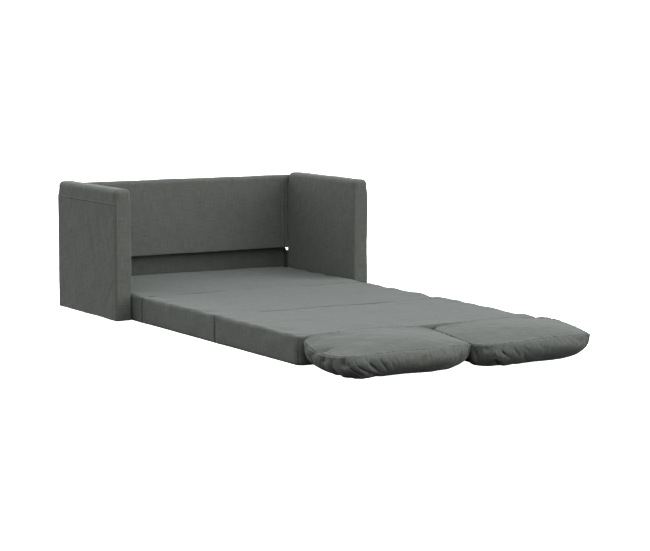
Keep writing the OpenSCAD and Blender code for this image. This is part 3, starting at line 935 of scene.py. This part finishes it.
@dataclass
class BackPanel:
    """Padded back panel in its sewn cover."""

    shop: Shop
    step: float = 7 * MM
    top_radius: float = 16 * MM
    edge_radius: float = 5 * MM
    padding: Waves = ((0.6 * MM, 0.2), (0.2 * MM, 0.04))
    # Tucks beside the arms: distance from the arm, height and half width
    tucks: Marks = ((31, -1.6, 3.2), (22, 1.2, 5), (10, -1.5, 5))
    seed: int = 31

    def __post_init__(self) -> None:
        """Reads the panel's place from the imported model."""
        self.low, self.high = node_box("back_panel_cover")
        arm_low, _ = node_box("right_arm_cover")
        self.inner = arm_low[0]

    def relief(self, points: Array, normals: Array) -> Array:
        """Height of the cover over its plain shape.

        Args:
            points: Points on the plain shape.
            normals: Their normals.

        Returns:
            Outward distance at each point.
        """
        front = np.clip(-normals[:, 1], 0, 1) ** 2
        push = waves(points, self.padding, self.seed)
        beside = np.abs(points[:, 0]) - self.inner
        for away, high, width in np.array(self.tucks) * MM:
            push += front * high * bell(beside + away, width)
        push = push * (1 - ease(beside, -8 * MM, 0.0)) - 0.3 * MM * ease(beside, -8 * MM, 0.0)
        return push * (1 - np.clip(normals[:, 1], 0, 1))

    def build(self) -> None:
        """Makes the cover."""
        low, high = self.low, self.high
        tucks = [side * (self.inner - away * MM) for side in (-1, 1) for away in (31, 10)]
        marks = [(place, 9 * MM, 1.6 * MM) for place in tucks]
        xs = [(low[0], 8 * MM, 1.6 * MM), (high[0], 8 * MM, 1.6 * MM), *marks]
        ys = [(low[1], 10 * MM, 1.6 * MM), (high[1], 10 * MM, 1.6 * MM)]
        zs = [(low[2], 8 * MM, 1.6 * MM), (high[2], 18 * MM, 2 * MM)]
        raw = block(low, high, (self.step,) * 3, (xs, ys, zs))
        up = ease(raw.points[:, 2], high[2] - 0.05, high[2] - 0.02)
        rest = self.edge_radius + (self.top_radius - self.edge_radius) * up
        radii = np.stack([np.full_like(up, self.edge_radius), rest, rest], axis=1)
        shape = raw.moved(rounded(raw.points, low, high, radii))
        made = shape.pushed(self.relief(shape.points, shape.normals()))
        replaced = ("back_panel_cover", "back_panel_foam")
        self.shop.pad(made, "back_panel", "sofa_frame", 0.95, replaced)


@dataclass
class RearLining:
    """Lining cloth stapled over the rear of the back panel."""

    shop: Shop
    step: float = 14 * MM
    staple: tuple[float, float, float] = (10 * MM, 0.9 * MM, 0.5 * MM)
    pitch: float = 48 * MM
    inset: float = 8 * MM
    wave: float = 0.25 * MM
    seed: int = 35

    def build(self) -> None:
        """Makes the lining as a thin stretched sheet, and the staples that hold it."""
        low, high = node_box("back_rear_cover")
        front, rear = low[1] + 0.35 * MM, high[1] - 0.35 * MM
        across, up = (graded(low[k], high[k], self.step, ()) for k in (0, 2))
        cloth = lattice([across, np.array([front, rear]), up])
        wave = np.clip(ripple(cloth.points * (1, 0, 1), 0.09, self.seed), -1, 1)
        cloth.points[:, 1] += self.wave * wave
        sheet = cloth.piece("back_stapled_lining", self.shop.lining)
        self.shop.put(sheet, "sofa_frame", "lining_fabric", ("back_rear_cover",))
        shape = lattice([np.array([-0.5, 0.5]) * size for size in self.staple])
        inset = self.inset
        across = np.arange(low[0] + 2 * inset, high[0] - inset, self.pitch)
        up = np.arange(low[2] + 2 * inset, high[2] - inset, self.pitch)
        flat = [(x, z, 0) for z in (low[2] + inset, high[2] - inset) for x in across]
        flat += [(x, z, 1) for x in (low[0] + inset, high[0] - inset) for z in up]
        x, z, upright = np.array(flat).T
        places = np.column_stack([x, np.full_like(x, rear + 0.3 * MM), z])
        way = np.column_stack([1 - upright, np.zeros_like(x), upright])
        out = np.broadcast_to([0.0, 1.0, 0.0], way.shape)
        frames = np.stack([way, np.cross(out, way), out], axis=1)
        staples = copies(shape, places, frames).piece("back_lining_staples", self.shop.steel)
        self.shop.put(staples, "sofa_frame", "zinc_steel")


@dataclass
class LowBoard:
    """Covered board under the back panel, in a darker copy of the cover cloth that is painted
    shade for the recess.
    """

    shop: Shop
    step: float = 9 * MM
    edge_step: float = 1.3 * MM
    corner_radius: float = 12 * MM
    edge_radius: float = 2.5 * MM
    padding: Waves = ((0.3 * MM, 0.15), (0.15 * MM, 0.035))
    seed: int = 41

    def build(self) -> None:
        """Makes the cover."""
        low, high = node_box("low_board_cover")
        xs = [(low[0], 14 * MM, 2 * MM), (high[0], 14 * MM, 2 * MM)]
        zs = [(low[2], 4 * MM, 1.5 * MM), (high[2], 14 * MM, 2 * MM)]
        raw = block(low, high, (self.step, self.edge_step, self.step), (xs, (), zs))
        up = ease(raw.points[:, 2], high[2] - 0.05, high[2] - 0.02)
        wide = self.edge_radius + (self.corner_radius - self.edge_radius) * up
        radii = np.stack([wide, np.full_like(up, self.edge_radius), wide], axis=1)
        shape = raw.moved(rounded(raw.points, low, high, radii))
        push = waves(shape.points, self.padding, self.seed)
        made = shape.pushed(push * np.clip(-shape.normals()[:, 1], 0, 1))
        # Darker cloth: painted shade of the recess under the back panel.
        piece = made.piece("low_board_sewn_cover", self.shop.painted_shade_cloth)
        self.shop.put(piece, "sofa_frame", "lining_fabric", ("low_board_cover",))


@dataclass
class Section:
    """One foam section of the mattress in its sewn cover."""

    shop: Shop
    name: str
    body: str
    front_radius: float
    plan_front: float
    seed: int
    step: float = 8 * MM
    side_radius: float = 12 * MM
    fold_radius: float = 5 * MM
    plan_rear: float = 9 * MM
    crown: float = 3 * MM
    play: float = 0.4 * MM  # between the top and the line about which the sections fold
    bulge: float = 2 * MM
    top_waves: Waves = ((0.7 * MM, 0.24), (0.25 * MM, 0.06))
    side_waves: Waves = ((0.8 * MM, 0.13),)
    edge_waves: Waves = ((1.6 * MM, 0.1),)

    def build(self) -> None:
        """Makes the cover: a rounded, crowned block with soft waves.

        The top stays under the fold line: a height z becomes the line less the play times
        the logarithm of one plus the exponential of the share of play that z lies below it.
        """
        low, high = node_box(f"{self.name}_cover")
        high[2] -= self.crown
        xs = [(low[0], 14 * MM, 2.2 * MM), (high[0], 14 * MM, 2.2 * MM)]
        ys = [(low[1], 16 * MM, 2 * MM), (high[1], 10 * MM, 2 * MM)]
        zs = [(low[2], 10 * MM, 2 * MM), (high[2], 12 * MM, 2 * MM)]
        raw = block(low, high, (self.step,) * 3, (xs, ys, zs))
        p = raw.points
        fore = 1 - ease(p[:, 1], low[1] + 0.02, low[1] + 0.05)
        aft = ease(p[:, 1], high[1] - 0.05, high[1] - 0.02)
        ry = self.fold_radius + (self.front_radius - self.fold_radius) * fore
        rz = self.side_radius * (1 - fore - aft)
        rz += self.front_radius * fore + self.fold_radius * aft
        radii = np.stack([np.full_like(ry, self.side_radius), ry, rz], axis=1)
        plan = np.where(p[:, 1] < (low[1] + high[1]) / 2, self.plan_front, self.plan_rear)
        shape = raw.moved(plan_corners(rounded(p, low, high, radii), low, high, plan))
        normals = shape.normals()
        top = np.clip(normals[:, 2], 0, 1)
        side = np.abs(normals[:, 0]) ** 2
        ends = np.abs(normals[:, 1]) ** 2
        half = (high - low) / 2
        share = (shape.points - (low + high) / 2) / half
        push = top * self.crown * (1 - share[:, 0] ** 2) * (1 - share[:, 1] ** 4)
        push += top * waves(shape.points, self.top_waves, self.seed)
        push += side * self.bulge * (1 - share[:, 2] ** 2)
        push += side * waves(shape.points, self.side_waves, self.seed + 2)
        shoulder = ease(np.abs(share[:, 0]), 0.85, 0.97) * ease(share[:, 2], 0.2, 0.8)
        push += shoulder * waves(shape.points * (0, 1, 0), self.edge_waves, self.seed + 3)
        push *= 1 - ends
        made = shape.pushed(push)
        under = (high[2] + self.crown + self.play - made.points[:, 2]) / self.play
        made.points[:, 2] += self.play * (under - np.logaddexp(0, under))
        made.points[:, 2] = np.maximum(made.points[:, 2], low[2])
        replaced = (f"{self.name}_cover", f"{self.name}_foam")
        self.shop.pad(made, self.name, self.body, 0.9, replaced)


@dataclass
class HingeStrip:
    """Strip of cover cloth, folded once, that joins two sections of the mattress."""

    shop: Shop
    name: str
    bodies: tuple[str, str]
    leaves: tuple[str, str]
    upward: int  # 1 with the fold on top, -1 with the fold below
    reach: float = 2.5 * MM  # of the fold beyond the leaves
    thickness: float = 0.6 * MM
    step: float = 25 * MM

    def build(self) -> None:
        """Makes the strip: its flat cloth is bent round the fold.

        Along the cloth the turn goes from zero to half a circle over the fold, the height
        rises with the first leg, follows the sine of the turn and falls with the second.
        """
        (low, high), (fore_low, fore_high) = (node_box(leaf) for leaf in self.leaves)
        rear, fore = (low[1] + high[1]) / 2, (fore_low[1] + fore_high[1]) / 2
        radius, middle = (rear - fore) / 2, (rear + fore) / 2
        leg = high[2] - low[2] + self.reach
        opening = low[2] if self.upward > 0 else high[2]
        length = 2 * leg + np.pi * radius
        straight = np.linspace(0, leg, 8)[:-1]
        bend = np.linspace(leg, leg + np.pi * radius, 9)
        along = np.concatenate([straight, bend, length - straight[::-1]])
        thick = np.array([-0.5, 0.5]) * self.thickness
        cloth = lattice([graded(low[0], high[0], self.step, ()), along, thick])
        x, s, t = cloth.points.T
        turn = np.clip((s - leg) / radius, 0, np.pi)
        y = middle + (radius + t) * np.cos(turn)
        rise = np.minimum(s, leg) - np.maximum(s - leg - np.pi * radius, 0)
        z = opening + self.upward * (rise + (radius + t) * np.sin(turn))
        quads, uv = cloth.quads[:, :: -self.upward], cloth.uv[:, :: -self.upward]
        piece = Surface(np.column_stack([x, y, z]), quads, uv).piece(self.name, self.shop.cloth)
        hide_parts(*self.leaves)
        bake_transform(piece)
        LOG.info("%s: %.0f mm of cloth", self.name, length / MM)


@dataclass(frozen=True)
class Fold:
    """One fold on a pillow's side: its place, half sizes, depth and slant.

    The direction is in degrees from the middle, the drop is the height over the seam, and a
    depth below zero is a bulge.
    """

    direction: float
    drop: float
    across: float
    tall: float
    depth: float
    slant: float = 0.0

    def relief(self, angle: Array, radius: Array, drop: Array) -> Array:
        """Hollow of the fold: one bell curve across it times one along it."""
        turn = np.mod(angle - np.radians(self.direction) + np.pi, 2 * np.pi) - np.pi
        along = drop - self.drop
        across = turn * radius + self.slant * along
        return self.depth * bell(across, self.across) * bell(along, self.tall)


@dataclass(frozen=True)
class Lie:
    """How a pillow lies.

    The seam's route runs round through points (x, y, height, draw, bulge) in millimetres
    about the pillow's middle: the draw is how far the underside lies inside the seam, and the
    bulge how far the side stands out beyond it. A pinch is a fold along which the outline is
    drawn in.
    """

    route: tuple[tuple[float, ...], ...]
    seed: int
    folds: tuple[Fold, ...]
    pinches: tuple[Fold, ...]


# Ranges of the random folds below and above a pillow's seam, as the fields of Fold: direction
# and slant, and between them the distance, half sizes and depth in millimetres.
HANGING = ((-180, 180), (4, 34), (3, 7), (7, 20), (0.8, 3.4), (-0.7, 0.7))
RISEN = ((-180, 180), (2, 9), (4, 9), (3, 7), (-1.0, 1.2), (-0.7, 0.7))


class SeamRoute:
    """A pillow's seam: its reach, height, draw and bulge by direction from the middle."""

    def __init__(self, route: Sequence[Sequence[float]], half: Array) -> None:
        """Samples the straight lines between the points by degree, and rounds them.

        Args:
            route: Points (x, y, height, draw, bulge) in millimetres, in order.
            half: Half sizes of the pillow, in which the reach is measured.
        """
        points = np.array(route) * MM
        share = np.linspace(0, 1, 60)[:-1, None]
        lines = [a + (b - a) * share for a, b in zip(points, np.roll(points, -1, axis=0))]
        dense = np.concatenate(lines)
        way = dense[:, :2] / half[:2]
        values = np.column_stack([np.linalg.norm(way, axis=1), dense[:, 2:]])
        angle = np.arctan2(way[:, 1], way[:, 0])
        self.angles = np.radians(np.arange(-180, 180))
        sampled = [np.interp(self.angles, angle, v, period=2 * np.pi) for v in values.T]
        self.fine = [self.soft(v, width) for v, width in zip(sampled, (2, 5, 5, 5))]
        self.broad = [self.soft(v, 28) for v in sampled]

    def soft(self, values: Array, width: int) -> Array:
        """Low-passes values round the circle with a bell curve of the width in degrees."""
        reach = np.arange(-3 * width, 3 * width + 1)
        weights = np.exp(-0.5 * (reach / width) ** 2)
        wrapped = np.concatenate([values[-3 * width :], values, values[: 3 * width]])
        return np.convolve(wrapped, weights / weights.sum(), "valid")

    def at(self, way: Array, share: Array | float = 1.0) -> list[Array]:
        """Reach in half sizes, height, draw and bulge in the points' directions.

        Args:
            way: Points or directions from the middle, in half sizes.
            share: Share of the way to the seam; inside it the values get broader.

        Returns:
            The four values at each point.
        """
        angle = np.arctan2(way[:, 1], way[:, 0])
        inner, outer = (
            [np.interp(angle, self.angles, v, period=2 * np.pi) for v in values]
            for values in (self.broad, self.fine)
        )
        mix = np.broadcast_to(share, angle.shape) ** 4
        return [a + (b - a) * mix for a, b in zip(inner, outer)]


LIES = {
    Side.LEFT: Lie(
        (
            (-280, 49, 76, 52, 4), (-282, -21, 74, 42, 0), (-271, -96, 78, 32, 6),
            (-247, -135, 82, 28, 18), (-217, -155, 84, 28, 28), (-165, -153, 86, 30, 35),
            (-53, -155, 87, 30, 37), (112, -154, 87, 30, 37), (166, -140, 86, 32, 32),
            (225, -123, 84, 42, 18), (280, -95, 83, 70, 0), (282, -31, 88, 56, 0),
            (282, 32, 93, 50, 0), (281, 104, 100, 40, 0), (270, 136, 106, 40, 0),
            (250, 169, 112, 30, 0), (215, 195, 117, 30, 0), (5, 200, 122, 30, 0),
            (-205, 195, 116, 60, 0), (-260, 169, 104, 85, 0), (-277, 119, 90, 72, 4),
        ),
        50,
        (
            Fold(-155, -30 * MM, 14 * MM, 15 * MM, 8 * MM),
            Fold(-141, -22 * MM, 17 * MM, 13 * MM, -5 * MM),
            Fold(-148, -52 * MM, 5 * MM, 16 * MM, 5 * MM, 0.9),
            Fold(-142, -50 * MM, 5 * MM, 16 * MM, 5 * MM, 0.8),
            Fold(-136, -42 * MM, 5 * MM, 18 * MM, 5 * MM, 0.7),
            Fold(-128, -38 * MM, 5 * MM, 18 * MM, 5 * MM, 0.5),
            Fold(-120, -34 * MM, 5 * MM, 16 * MM, 4 * MM, 0.3),
            Fold(-58, -14 * MM, 4 * MM, 16 * MM, 4 * MM),
            Fold(172, 2 * MM, 16 * MM, 15 * MM, 9 * MM, -1.0),
            Fold(-179, -24 * MM, 10 * MM, 12 * MM, 8 * MM, -0.6),
            Fold(160, -16 * MM, 22 * MM, 12 * MM, -5 * MM),
        ),
        (
            Fold(-176, 0.0, 12 * MM, 24 * MM, 4 * MM),
            Fold(156, 0.0, 9 * MM, 26 * MM, 4 * MM),
            Fold(-45, 0.0, 8 * MM, 26 * MM, 3 * MM),
        ),
    ),
    Side.RIGHT: Lie(
        (
            (-282, -91, 78, 10, 0), (-267, -131, 80, 10, 4), (-245, -156, 83, 24, 16),
            (-217, -174, 85, 40, 22), (-136, -180, 88, 52, 22), (-38, -171, 90, 48, 31),
            (54, -165, 90, 44, 34), (153, -156, 89, 58, 22), (211, -137, 88, 98, 0),
            (246, -41, 89, 92, 0), (270, 59, 94, 70, 0), (274, 149, 102, 50, 0),
            (253, 193, 109, 40, 0), (3, 200, 120, 30, 0), (-172, 201, 114, 30, 0),
            (-252, 192, 105, 30, 0), (-281, 159, 101, 30, 0), (-283, 79, 96, 30, 0),
            (-283, -11, 88, 20, 0),
        ),
        70,
        (
            Fold(-150, -12 * MM, 14 * MM, 12 * MM, 6 * MM),
            Fold(-143, -30 * MM, 8 * MM, 14 * MM, -4 * MM, 0.6),
            Fold(-138, -34 * MM, 5 * MM, 16 * MM, 5 * MM, 0.8),
            Fold(-130, -30 * MM, 5 * MM, 16 * MM, 4 * MM, 0.5),
            Fold(-81, -6 * MM, 4 * MM, 14 * MM, 4 * MM),
            Fold(-51, -24 * MM, 6 * MM, 16 * MM, 5 * MM, -0.9),
            Fold(-42, -20 * MM, 6 * MM, 16 * MM, 4 * MM, -0.9),
        ),
        (
            Fold(-57, 0.0, 9 * MM, 26 * MM, 4 * MM),
            Fold(-140, 0.0, 8 * MM, 26 * MM, 3 * MM),
        ),
    ),
}


@dataclass
class Pillow:
    """Loose pillow: crowned top, seam round its upper third and a gathered underside."""

    shop: Shop
    side: Side
    step: float = 5.5 * MM
    inner_height: float = 104 * MM  # what the seam's height tends to in the middle
    inner_reach: float = 0.98
    rise: float = 15 * MM  # of the crown over that height
    crown: float = 1.9  # power of the share of the way to the seam
    belly: float = 4.0  # power with which the underside draws in
    bulge_power: float = 0.62  # puts the widest line at a third of the way down
    slack: Slack = Slack()
    seam_depth: float = 3.4 * MM
    seam_width: float = 2.1 * MM
    ridge: float = 1.1 * MM  # height of the ridges beside the seam
    puckers: Waves = ((0.7 * MM, 14 * MM),)
    filling: Waves = ((0.5 * MM, 0.09), (0.14 * MM, 0.026))
    pleats: int = 120

    def __post_init__(self) -> None:
        """Reads the pillow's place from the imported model."""
        self.name = f"{self.side.name.lower()}_pillow"
        self.low, self.high = node_box(f"{self.name}_cover")
        self.half = (self.high - self.low) / 2
        self.middle = (self.high + self.low) / 2
        self.lie = LIES[self.side]
        self.seam = SeamRoute(self.lie.route, self.half)

    def plain(self) -> Surface:
        """Plain shape: a flat base, a bulging side up to the seam and a crowned top.

        A point at share m of the square goes to m times the seam's reach in its direction.
        Below the seam the side moves in by the draw times a power of the share of height
        that is missing, and bulges as half a sine wave that is drawn up towards the seam.
        The top leans from seam to seam, and over that it rises by one less a power of the
        share of the way to the seam. Its contours get rounder towards the middle.

        Returns:
            The closed surface about its own middle, with its underside on zero.
        """
        half = self.half
        xs = [(s * half[0], 22 * MM, 3 * MM) for s in (-1, 1)]
        ys = [(s * half[1], 22 * MM, 3 * MM) for s in (-1, 1)]
        ends = (-half[0], -half[1], 0.0), (half[0], half[1], 1.0)
        raw = block(*ends, (self.step, self.step, 0.06), (xs, ys, [(1.0, 0.1, 0.03)]))
        p = raw.points
        square = p[:, :2] / half[:2]
        m = np.abs(square).max(axis=1)
        way = square / np.maximum(np.linalg.norm(square, axis=1, keepdims=True), 1e-9)
        reach, seam, draw, bulge = self.seam.at(way)
        missing = 1 - p[:, 2]
        inward = draw * missing**self.belly
        inward -= bulge * np.sin(np.pi * missing**self.bulge_power)
        rim = way * reach[:, None] * half[:2]
        drawn = 1 - inward / np.maximum(np.linalg.norm(rim, axis=1), 1e-9)
        plan = rim * (m * drawn)[:, None]
        inner_reach, inner_seam, _, _ = self.seam.at(way, m)
        edge = self.inner_height + (inner_seam - self.inner_height) * m**1.2
        around = self.inner_reach + (inner_reach - self.inner_reach) * m**3
        crown = 1 - np.minimum(reach * m / around, 1) ** self.crown
        z = p[:, 2] * (edge + crown * self.rise * (p[:, 2] > 1 - 1e-6))
        return raw.moved(np.column_stack([plan, z]))

    def seam_place(self, points: Array) -> tuple[Array, Array]:
        """Height of points over the seam, and how near they are to the rim, from 0 to 1."""
        way = points[:, :2] / self.half[:2]
        reach, seam, _, _ = self.seam.at(way)
        drop, share = points[:, 2] - seam, np.linalg.norm(way, axis=1) / reach
        return drop, np.where(drop > 0, ease(share, 0.72, 0.9), ease(share, 0.5, 0.7))

    def gathers(self, points: Array, steep: Array) -> tuple[Array, Array]:
        """Seam, gathers and pinches of the cover.

        The seam is a narrow valley between two soft ridges with small puckers. Random folds
        hang from it, and fewer shallow ones rise above it, both only where the side is steep.

        Args:
            points: Points about the pillow's middle.
            steep: How steep the plain shape is at each point, from 0 to 1.

        Returns:
            Outward distance of each point, and how far its outline is drawn in.
        """
        rng = np.random.default_rng(self.lie.seed)
        drop, rim = self.seam_place(points)
        angle = np.arctan2(points[:, 1], points[:, 0])
        radius = np.linalg.norm(points[:, :2], axis=1)
        push = np.zeros(len(points))
        below = rim * ease(-drop, -2 * MM, 3 * MM)
        for count, sign, where, ranges in (
            (self.pleats, -1, below, HANGING), (self.pleats // 2, 1, rim, RISEN)
        ):
            for _ in range(count):
                turn, far, *sizes, slant = (rng.uniform(*ends) for ends in ranges)
                fold = Fold(turn, sign * far * MM, *(size * MM for size in sizes), slant)
                push -= fold.relief(angle, radius, drop) * where
        push *= steep
        way = points[:, :2] / self.half[:2]
        share = np.linalg.norm(way, axis=1)
        inside = radius * (1 - self.seam.at(way)[0] / np.maximum(share, 1e-9))
        gap = np.hypot(drop, inside)
        push -= self.seam_depth * bell(gap, self.seam_width)
        push += self.ridge * bell(gap - 6 * MM, 4 * MM)
        puckers = waves(points, self.puckers, self.lie.seed + 3)
        push += puckers * bell(gap - 3 * MM, 7 * MM)
        push -= sum(fold.relief(angle, radius, drop) for fold in self.lie.folds) * rim
        drawn = sum(fold.relief(angle, radius, drop) for fold in self.lie.pinches) * rim
        return push, drawn

    def build(self) -> None:
        """Makes the cover."""
        plain = self.plain()
        drop, rim = self.seam_place(plain.points)
        held = bell(drop, 3 * MM) * rim
        loose = ease(-drop, 0.0, 4 * MM) * rim
        made = self.slack.worn(plain, held, loose)
        points = made.points
        push, drawn = self.gathers(points, 1 - np.abs(made.normals()[:, 2]) ** 3)
        made = made.pushed(push + waves(points, self.filling, self.lie.seed + 1))
        radius = np.maximum(np.linalg.norm(made.points[:, :2], axis=1, keepdims=True), 1e-6)
        made.points[:, :2] *= 1 - drawn[:, None] / radius
        made.points = np.clip(made.points, (*-self.half[:2], 0.0), (*self.half[:2], 1.0))
        made.points += (*self.middle[:2], self.low[2])
        replaced = (f"{self.name}_cover", f"{self.name}_fill")
        self.shop.pad(made, self.name, self.name, 0.7, replaced)


@dataclass
class Fittings:
    """CAD pieces that keep their shape and get their finish."""

    shop: Shop

    def finish_of(self, node: str) -> bpy.types.Material | None:
        """Finish of a CAD node by what it is made of, or None for a soft one."""
        if node.endswith("_board"):
            return self.shop.hardboard
        if node.endswith("_leg"):
            return self.shop.stained
        if node.endswith("_post"):
            return self.shop.timber[Grain.UP]
        if node.endswith("_rail"):
            return self.shop.timber[Grain.DEEP if "arm" in node else Grain.ACROSS]
        if node in ("arm_bolts", "bolt_washers", "threaded_inserts", "frame_screws"):
            return self.shop.steel
        if node.endswith("_glides"):
            return self.shop.plastic
        if node.endswith(("_leaf", "_rear_cover")):
            return self.shop.lining
        return None

    def build(self) -> None:
        """Puts each finish into its node's material slots."""
        for name, node in frame["nodes"].items():
            finish = self.finish_of(name)
            if finish is None:
                continue
            node.data.materials.clear()
            node.data.materials.append(finish)
            LOG.info("%s: %s", name, finish.name)


@dataclass(frozen=True)
class Light:
    """One broad soft light of the dome: azimuth and elevation in degrees, and strength."""

    azimuth: float  # from the Y axis, positive to the left
    elevation: float
    strength: float

    def direction(self) -> tuple[float, float, float]:
        """Unit vector towards the middle of the light."""
        a, e = np.radians(self.azimuth), np.radians(self.elevation)
        return (float(-np.sin(a) * np.cos(e)), float(np.cos(a) * np.cos(e)), float(np.sin(e)))


@dataclass(frozen=True)
class Studio:
    """Pale luminous cove, soft lights round the object and the portrait camera.

    The camera's place and angles are those that the straight edges in the photo lead to.
    """

    place: tuple[float, float, float] = (-4.24584, -7.35129, 1.20481)
    azimuth: float = -30.34  # degrees from the Y axis, positive to the left
    elevation: float = 6.64  # degrees that the camera looks down
    lens: float = 117.217
    sensor: float = 36.0
    cove_radius: float = 300.0
    cove_sides: int = 48
    glow: float = 1.3
    contrast: float = 1.3
    breadth: float = 4.0  # power of the cosine
    lights: tuple[Light, ...] = (
        Light(180, 45, 0.97),
        Light(135, 45, 1.82),
        Light(-135, 45, 0.58),
        Light(135, 8, 0.72),
        Light(-135, 8, 4.44),
        Light(0, 8, 1.89),
        Light(45, 8, 2.96),
    )

    def build(self) -> None:
        """Makes the cove, the sky and the camera."""
        scene = bpy.context.scene
        scene.view_settings.view_transform = "Standard"
        scene.view_settings.gamma = 1 / self.contrast
        ahead = -Vector(Light(self.azimuth + 180, self.elevation, 1).direction())
        data = bpy.data.cameras.new("portrait")
        data.lens, data.sensor_width = self.lens, self.sensor
        data.clip_end = 4 * self.cove_radius
        camera = bpy.data.objects.new("portrait", data)
        camera.location = self.place
        camera.rotation_euler = ahead.to_track_quat("-Z", "Y").to_euler()
        scene.collection.objects.link(camera)
        scene.camera = camera
        self.cove()
        self.sky()

    def cove(self) -> None:
        """Pale floor and dome that only the camera sees: a disc and a half sphere.

        The outline (radius, height) runs out along the floor and up a quarter circle, and is
        turned about the Z axis.
        """
        material, tree = new_material("pale_studio_cove")
        place = add_node(tree, "TexCoord").outputs["Object"]
        cloud = stretched_noise(tree, place, (0.8, 0.8, 0.8), 2.0)
        ends = {"Factor": cloud, "A": linear("#f1f1f0"), "B": linear("#f6f6f5")}
        colour = add_node(tree, "Mix", ends, data_type="RGBA").outputs["Result"]
        glow = {"Emission Color": colour, "Emission Strength": self.glow}
        close_material(tree, {"Base Color": colour, "Roughness": 0.9, **glow})
        rise = np.linspace(0, np.pi / 2, 13)
        outline = np.concatenate([[(0.0, 0.0)], np.column_stack([np.cos(rise), np.sin(rise)])])
        outline[[0, -1], 0] = 1e-6  # closes the poles without faces of no area
        turn = np.linspace(0, 2 * np.pi, self.cove_sides + 1)[:-1]
        round_ = np.stack([np.cos(turn), np.sin(turn)], axis=1)
        flat = outline[:, None, :1] * round_[None]
        up = np.broadcast_to(outline[:, None, 1:], flat.shape[:2] + (1,))
        points = np.concatenate([flat, up], axis=2).reshape(-1, 3) * self.cove_radius
        sides = self.cove_sides
        row, column = np.meshgrid(np.arange(len(outline) - 1), np.arange(sides), indexing="ij")
        first, second = row * sides + column, row * sides + (column + 1) % sides
        quads = np.stack([first, first + sides, second + sides, second], axis=-1).reshape(-1, 4)
        cove = Surface(points, quads, points[quads][..., :2]).piece("studio_cove", material)
        cove.visible_diffuse = cove.visible_glossy = cove.visible_transmission = False
        cove.visible_shadow = False

    def sky(self) -> None:
        """Sum of the lights: strength times a power of the cosine of the angle to its middle."""
        world = bpy.data.worlds.new("studio_sky")
        world.use_nodes = True
        tree = world.node_tree
        tree.nodes.clear()
        way = add_node(tree, "TexCoord").outputs["Generated"]
        total: bpy.types.Node | float = 0.0
        for light in self.lights:
            both = {0: way, 1: light.direction()}
            cosine = add_node(tree, "VectorMath", both, operation="DOT_PRODUCT").outputs["Value"]
            lit = add_node(tree, "Math", {0: cosine, 1: 0.0}, operation="MAXIMUM")
            soft = add_node(tree, "Math", {0: lit, 1: self.breadth}, operation="POWER")
            share = {0: soft, 1: light.strength, 2: total}
            total = add_node(tree, "Math", share, operation="MULTIPLY_ADD")
        height = add_node(tree, "SeparateXYZ", {0: way}).outputs[2]
        horizon = {"Value": height, "From Min": -0.01, "From Max": 0.01, "To Max": total}
        above = add_node(tree, "MapRange", horizon)
        sky = add_node(tree, "Background", {"Color": linear("#ffffff"), "Strength": above})
        add_node(tree, "OutputWorld", {"Surface": sky})
        bpy.context.scene.world = world


def main() -> None:
    """Builds every sub-assembly in order."""
    logging.basicConfig(level=logging.INFO, format="%(name)s: %(message)s")
    Studio().build()
    shop = Shop()
    Fittings(shop).build()
    for side in Side:
        Arm(shop, side).build()
    BackPanel(shop).build()
    RearLining(shop).build()
    LowBoard(shop).build()
    Section(shop, "rear_section", "sofa_frame", 5 * MM, 9 * MM, 110).build()
    Section(shop, "middle_section", "middle_section", 5 * MM, 9 * MM, 120).build()
    Section(shop, "end_section", "end_section", 12 * MM, 30 * MM, 130).build()
    HingeStrip(
        shop, "upper_hinge_strip", ("sofa_frame", "middle_section"),
        ("rear_upper_hinge_leaf", "middle_upper_hinge_leaf"), 1,
    ).build()
    HingeStrip(
        shop, "lower_hinge_strip", ("middle_section", "end_section"),
        ("middle_lower_hinge_leaf", "end_lower_hinge_leaf"), -1, 2 * MM,
    ).build()
    for side in Side:
        Pillow(shop, side).build()


if __name__ == "__main__":
    main()
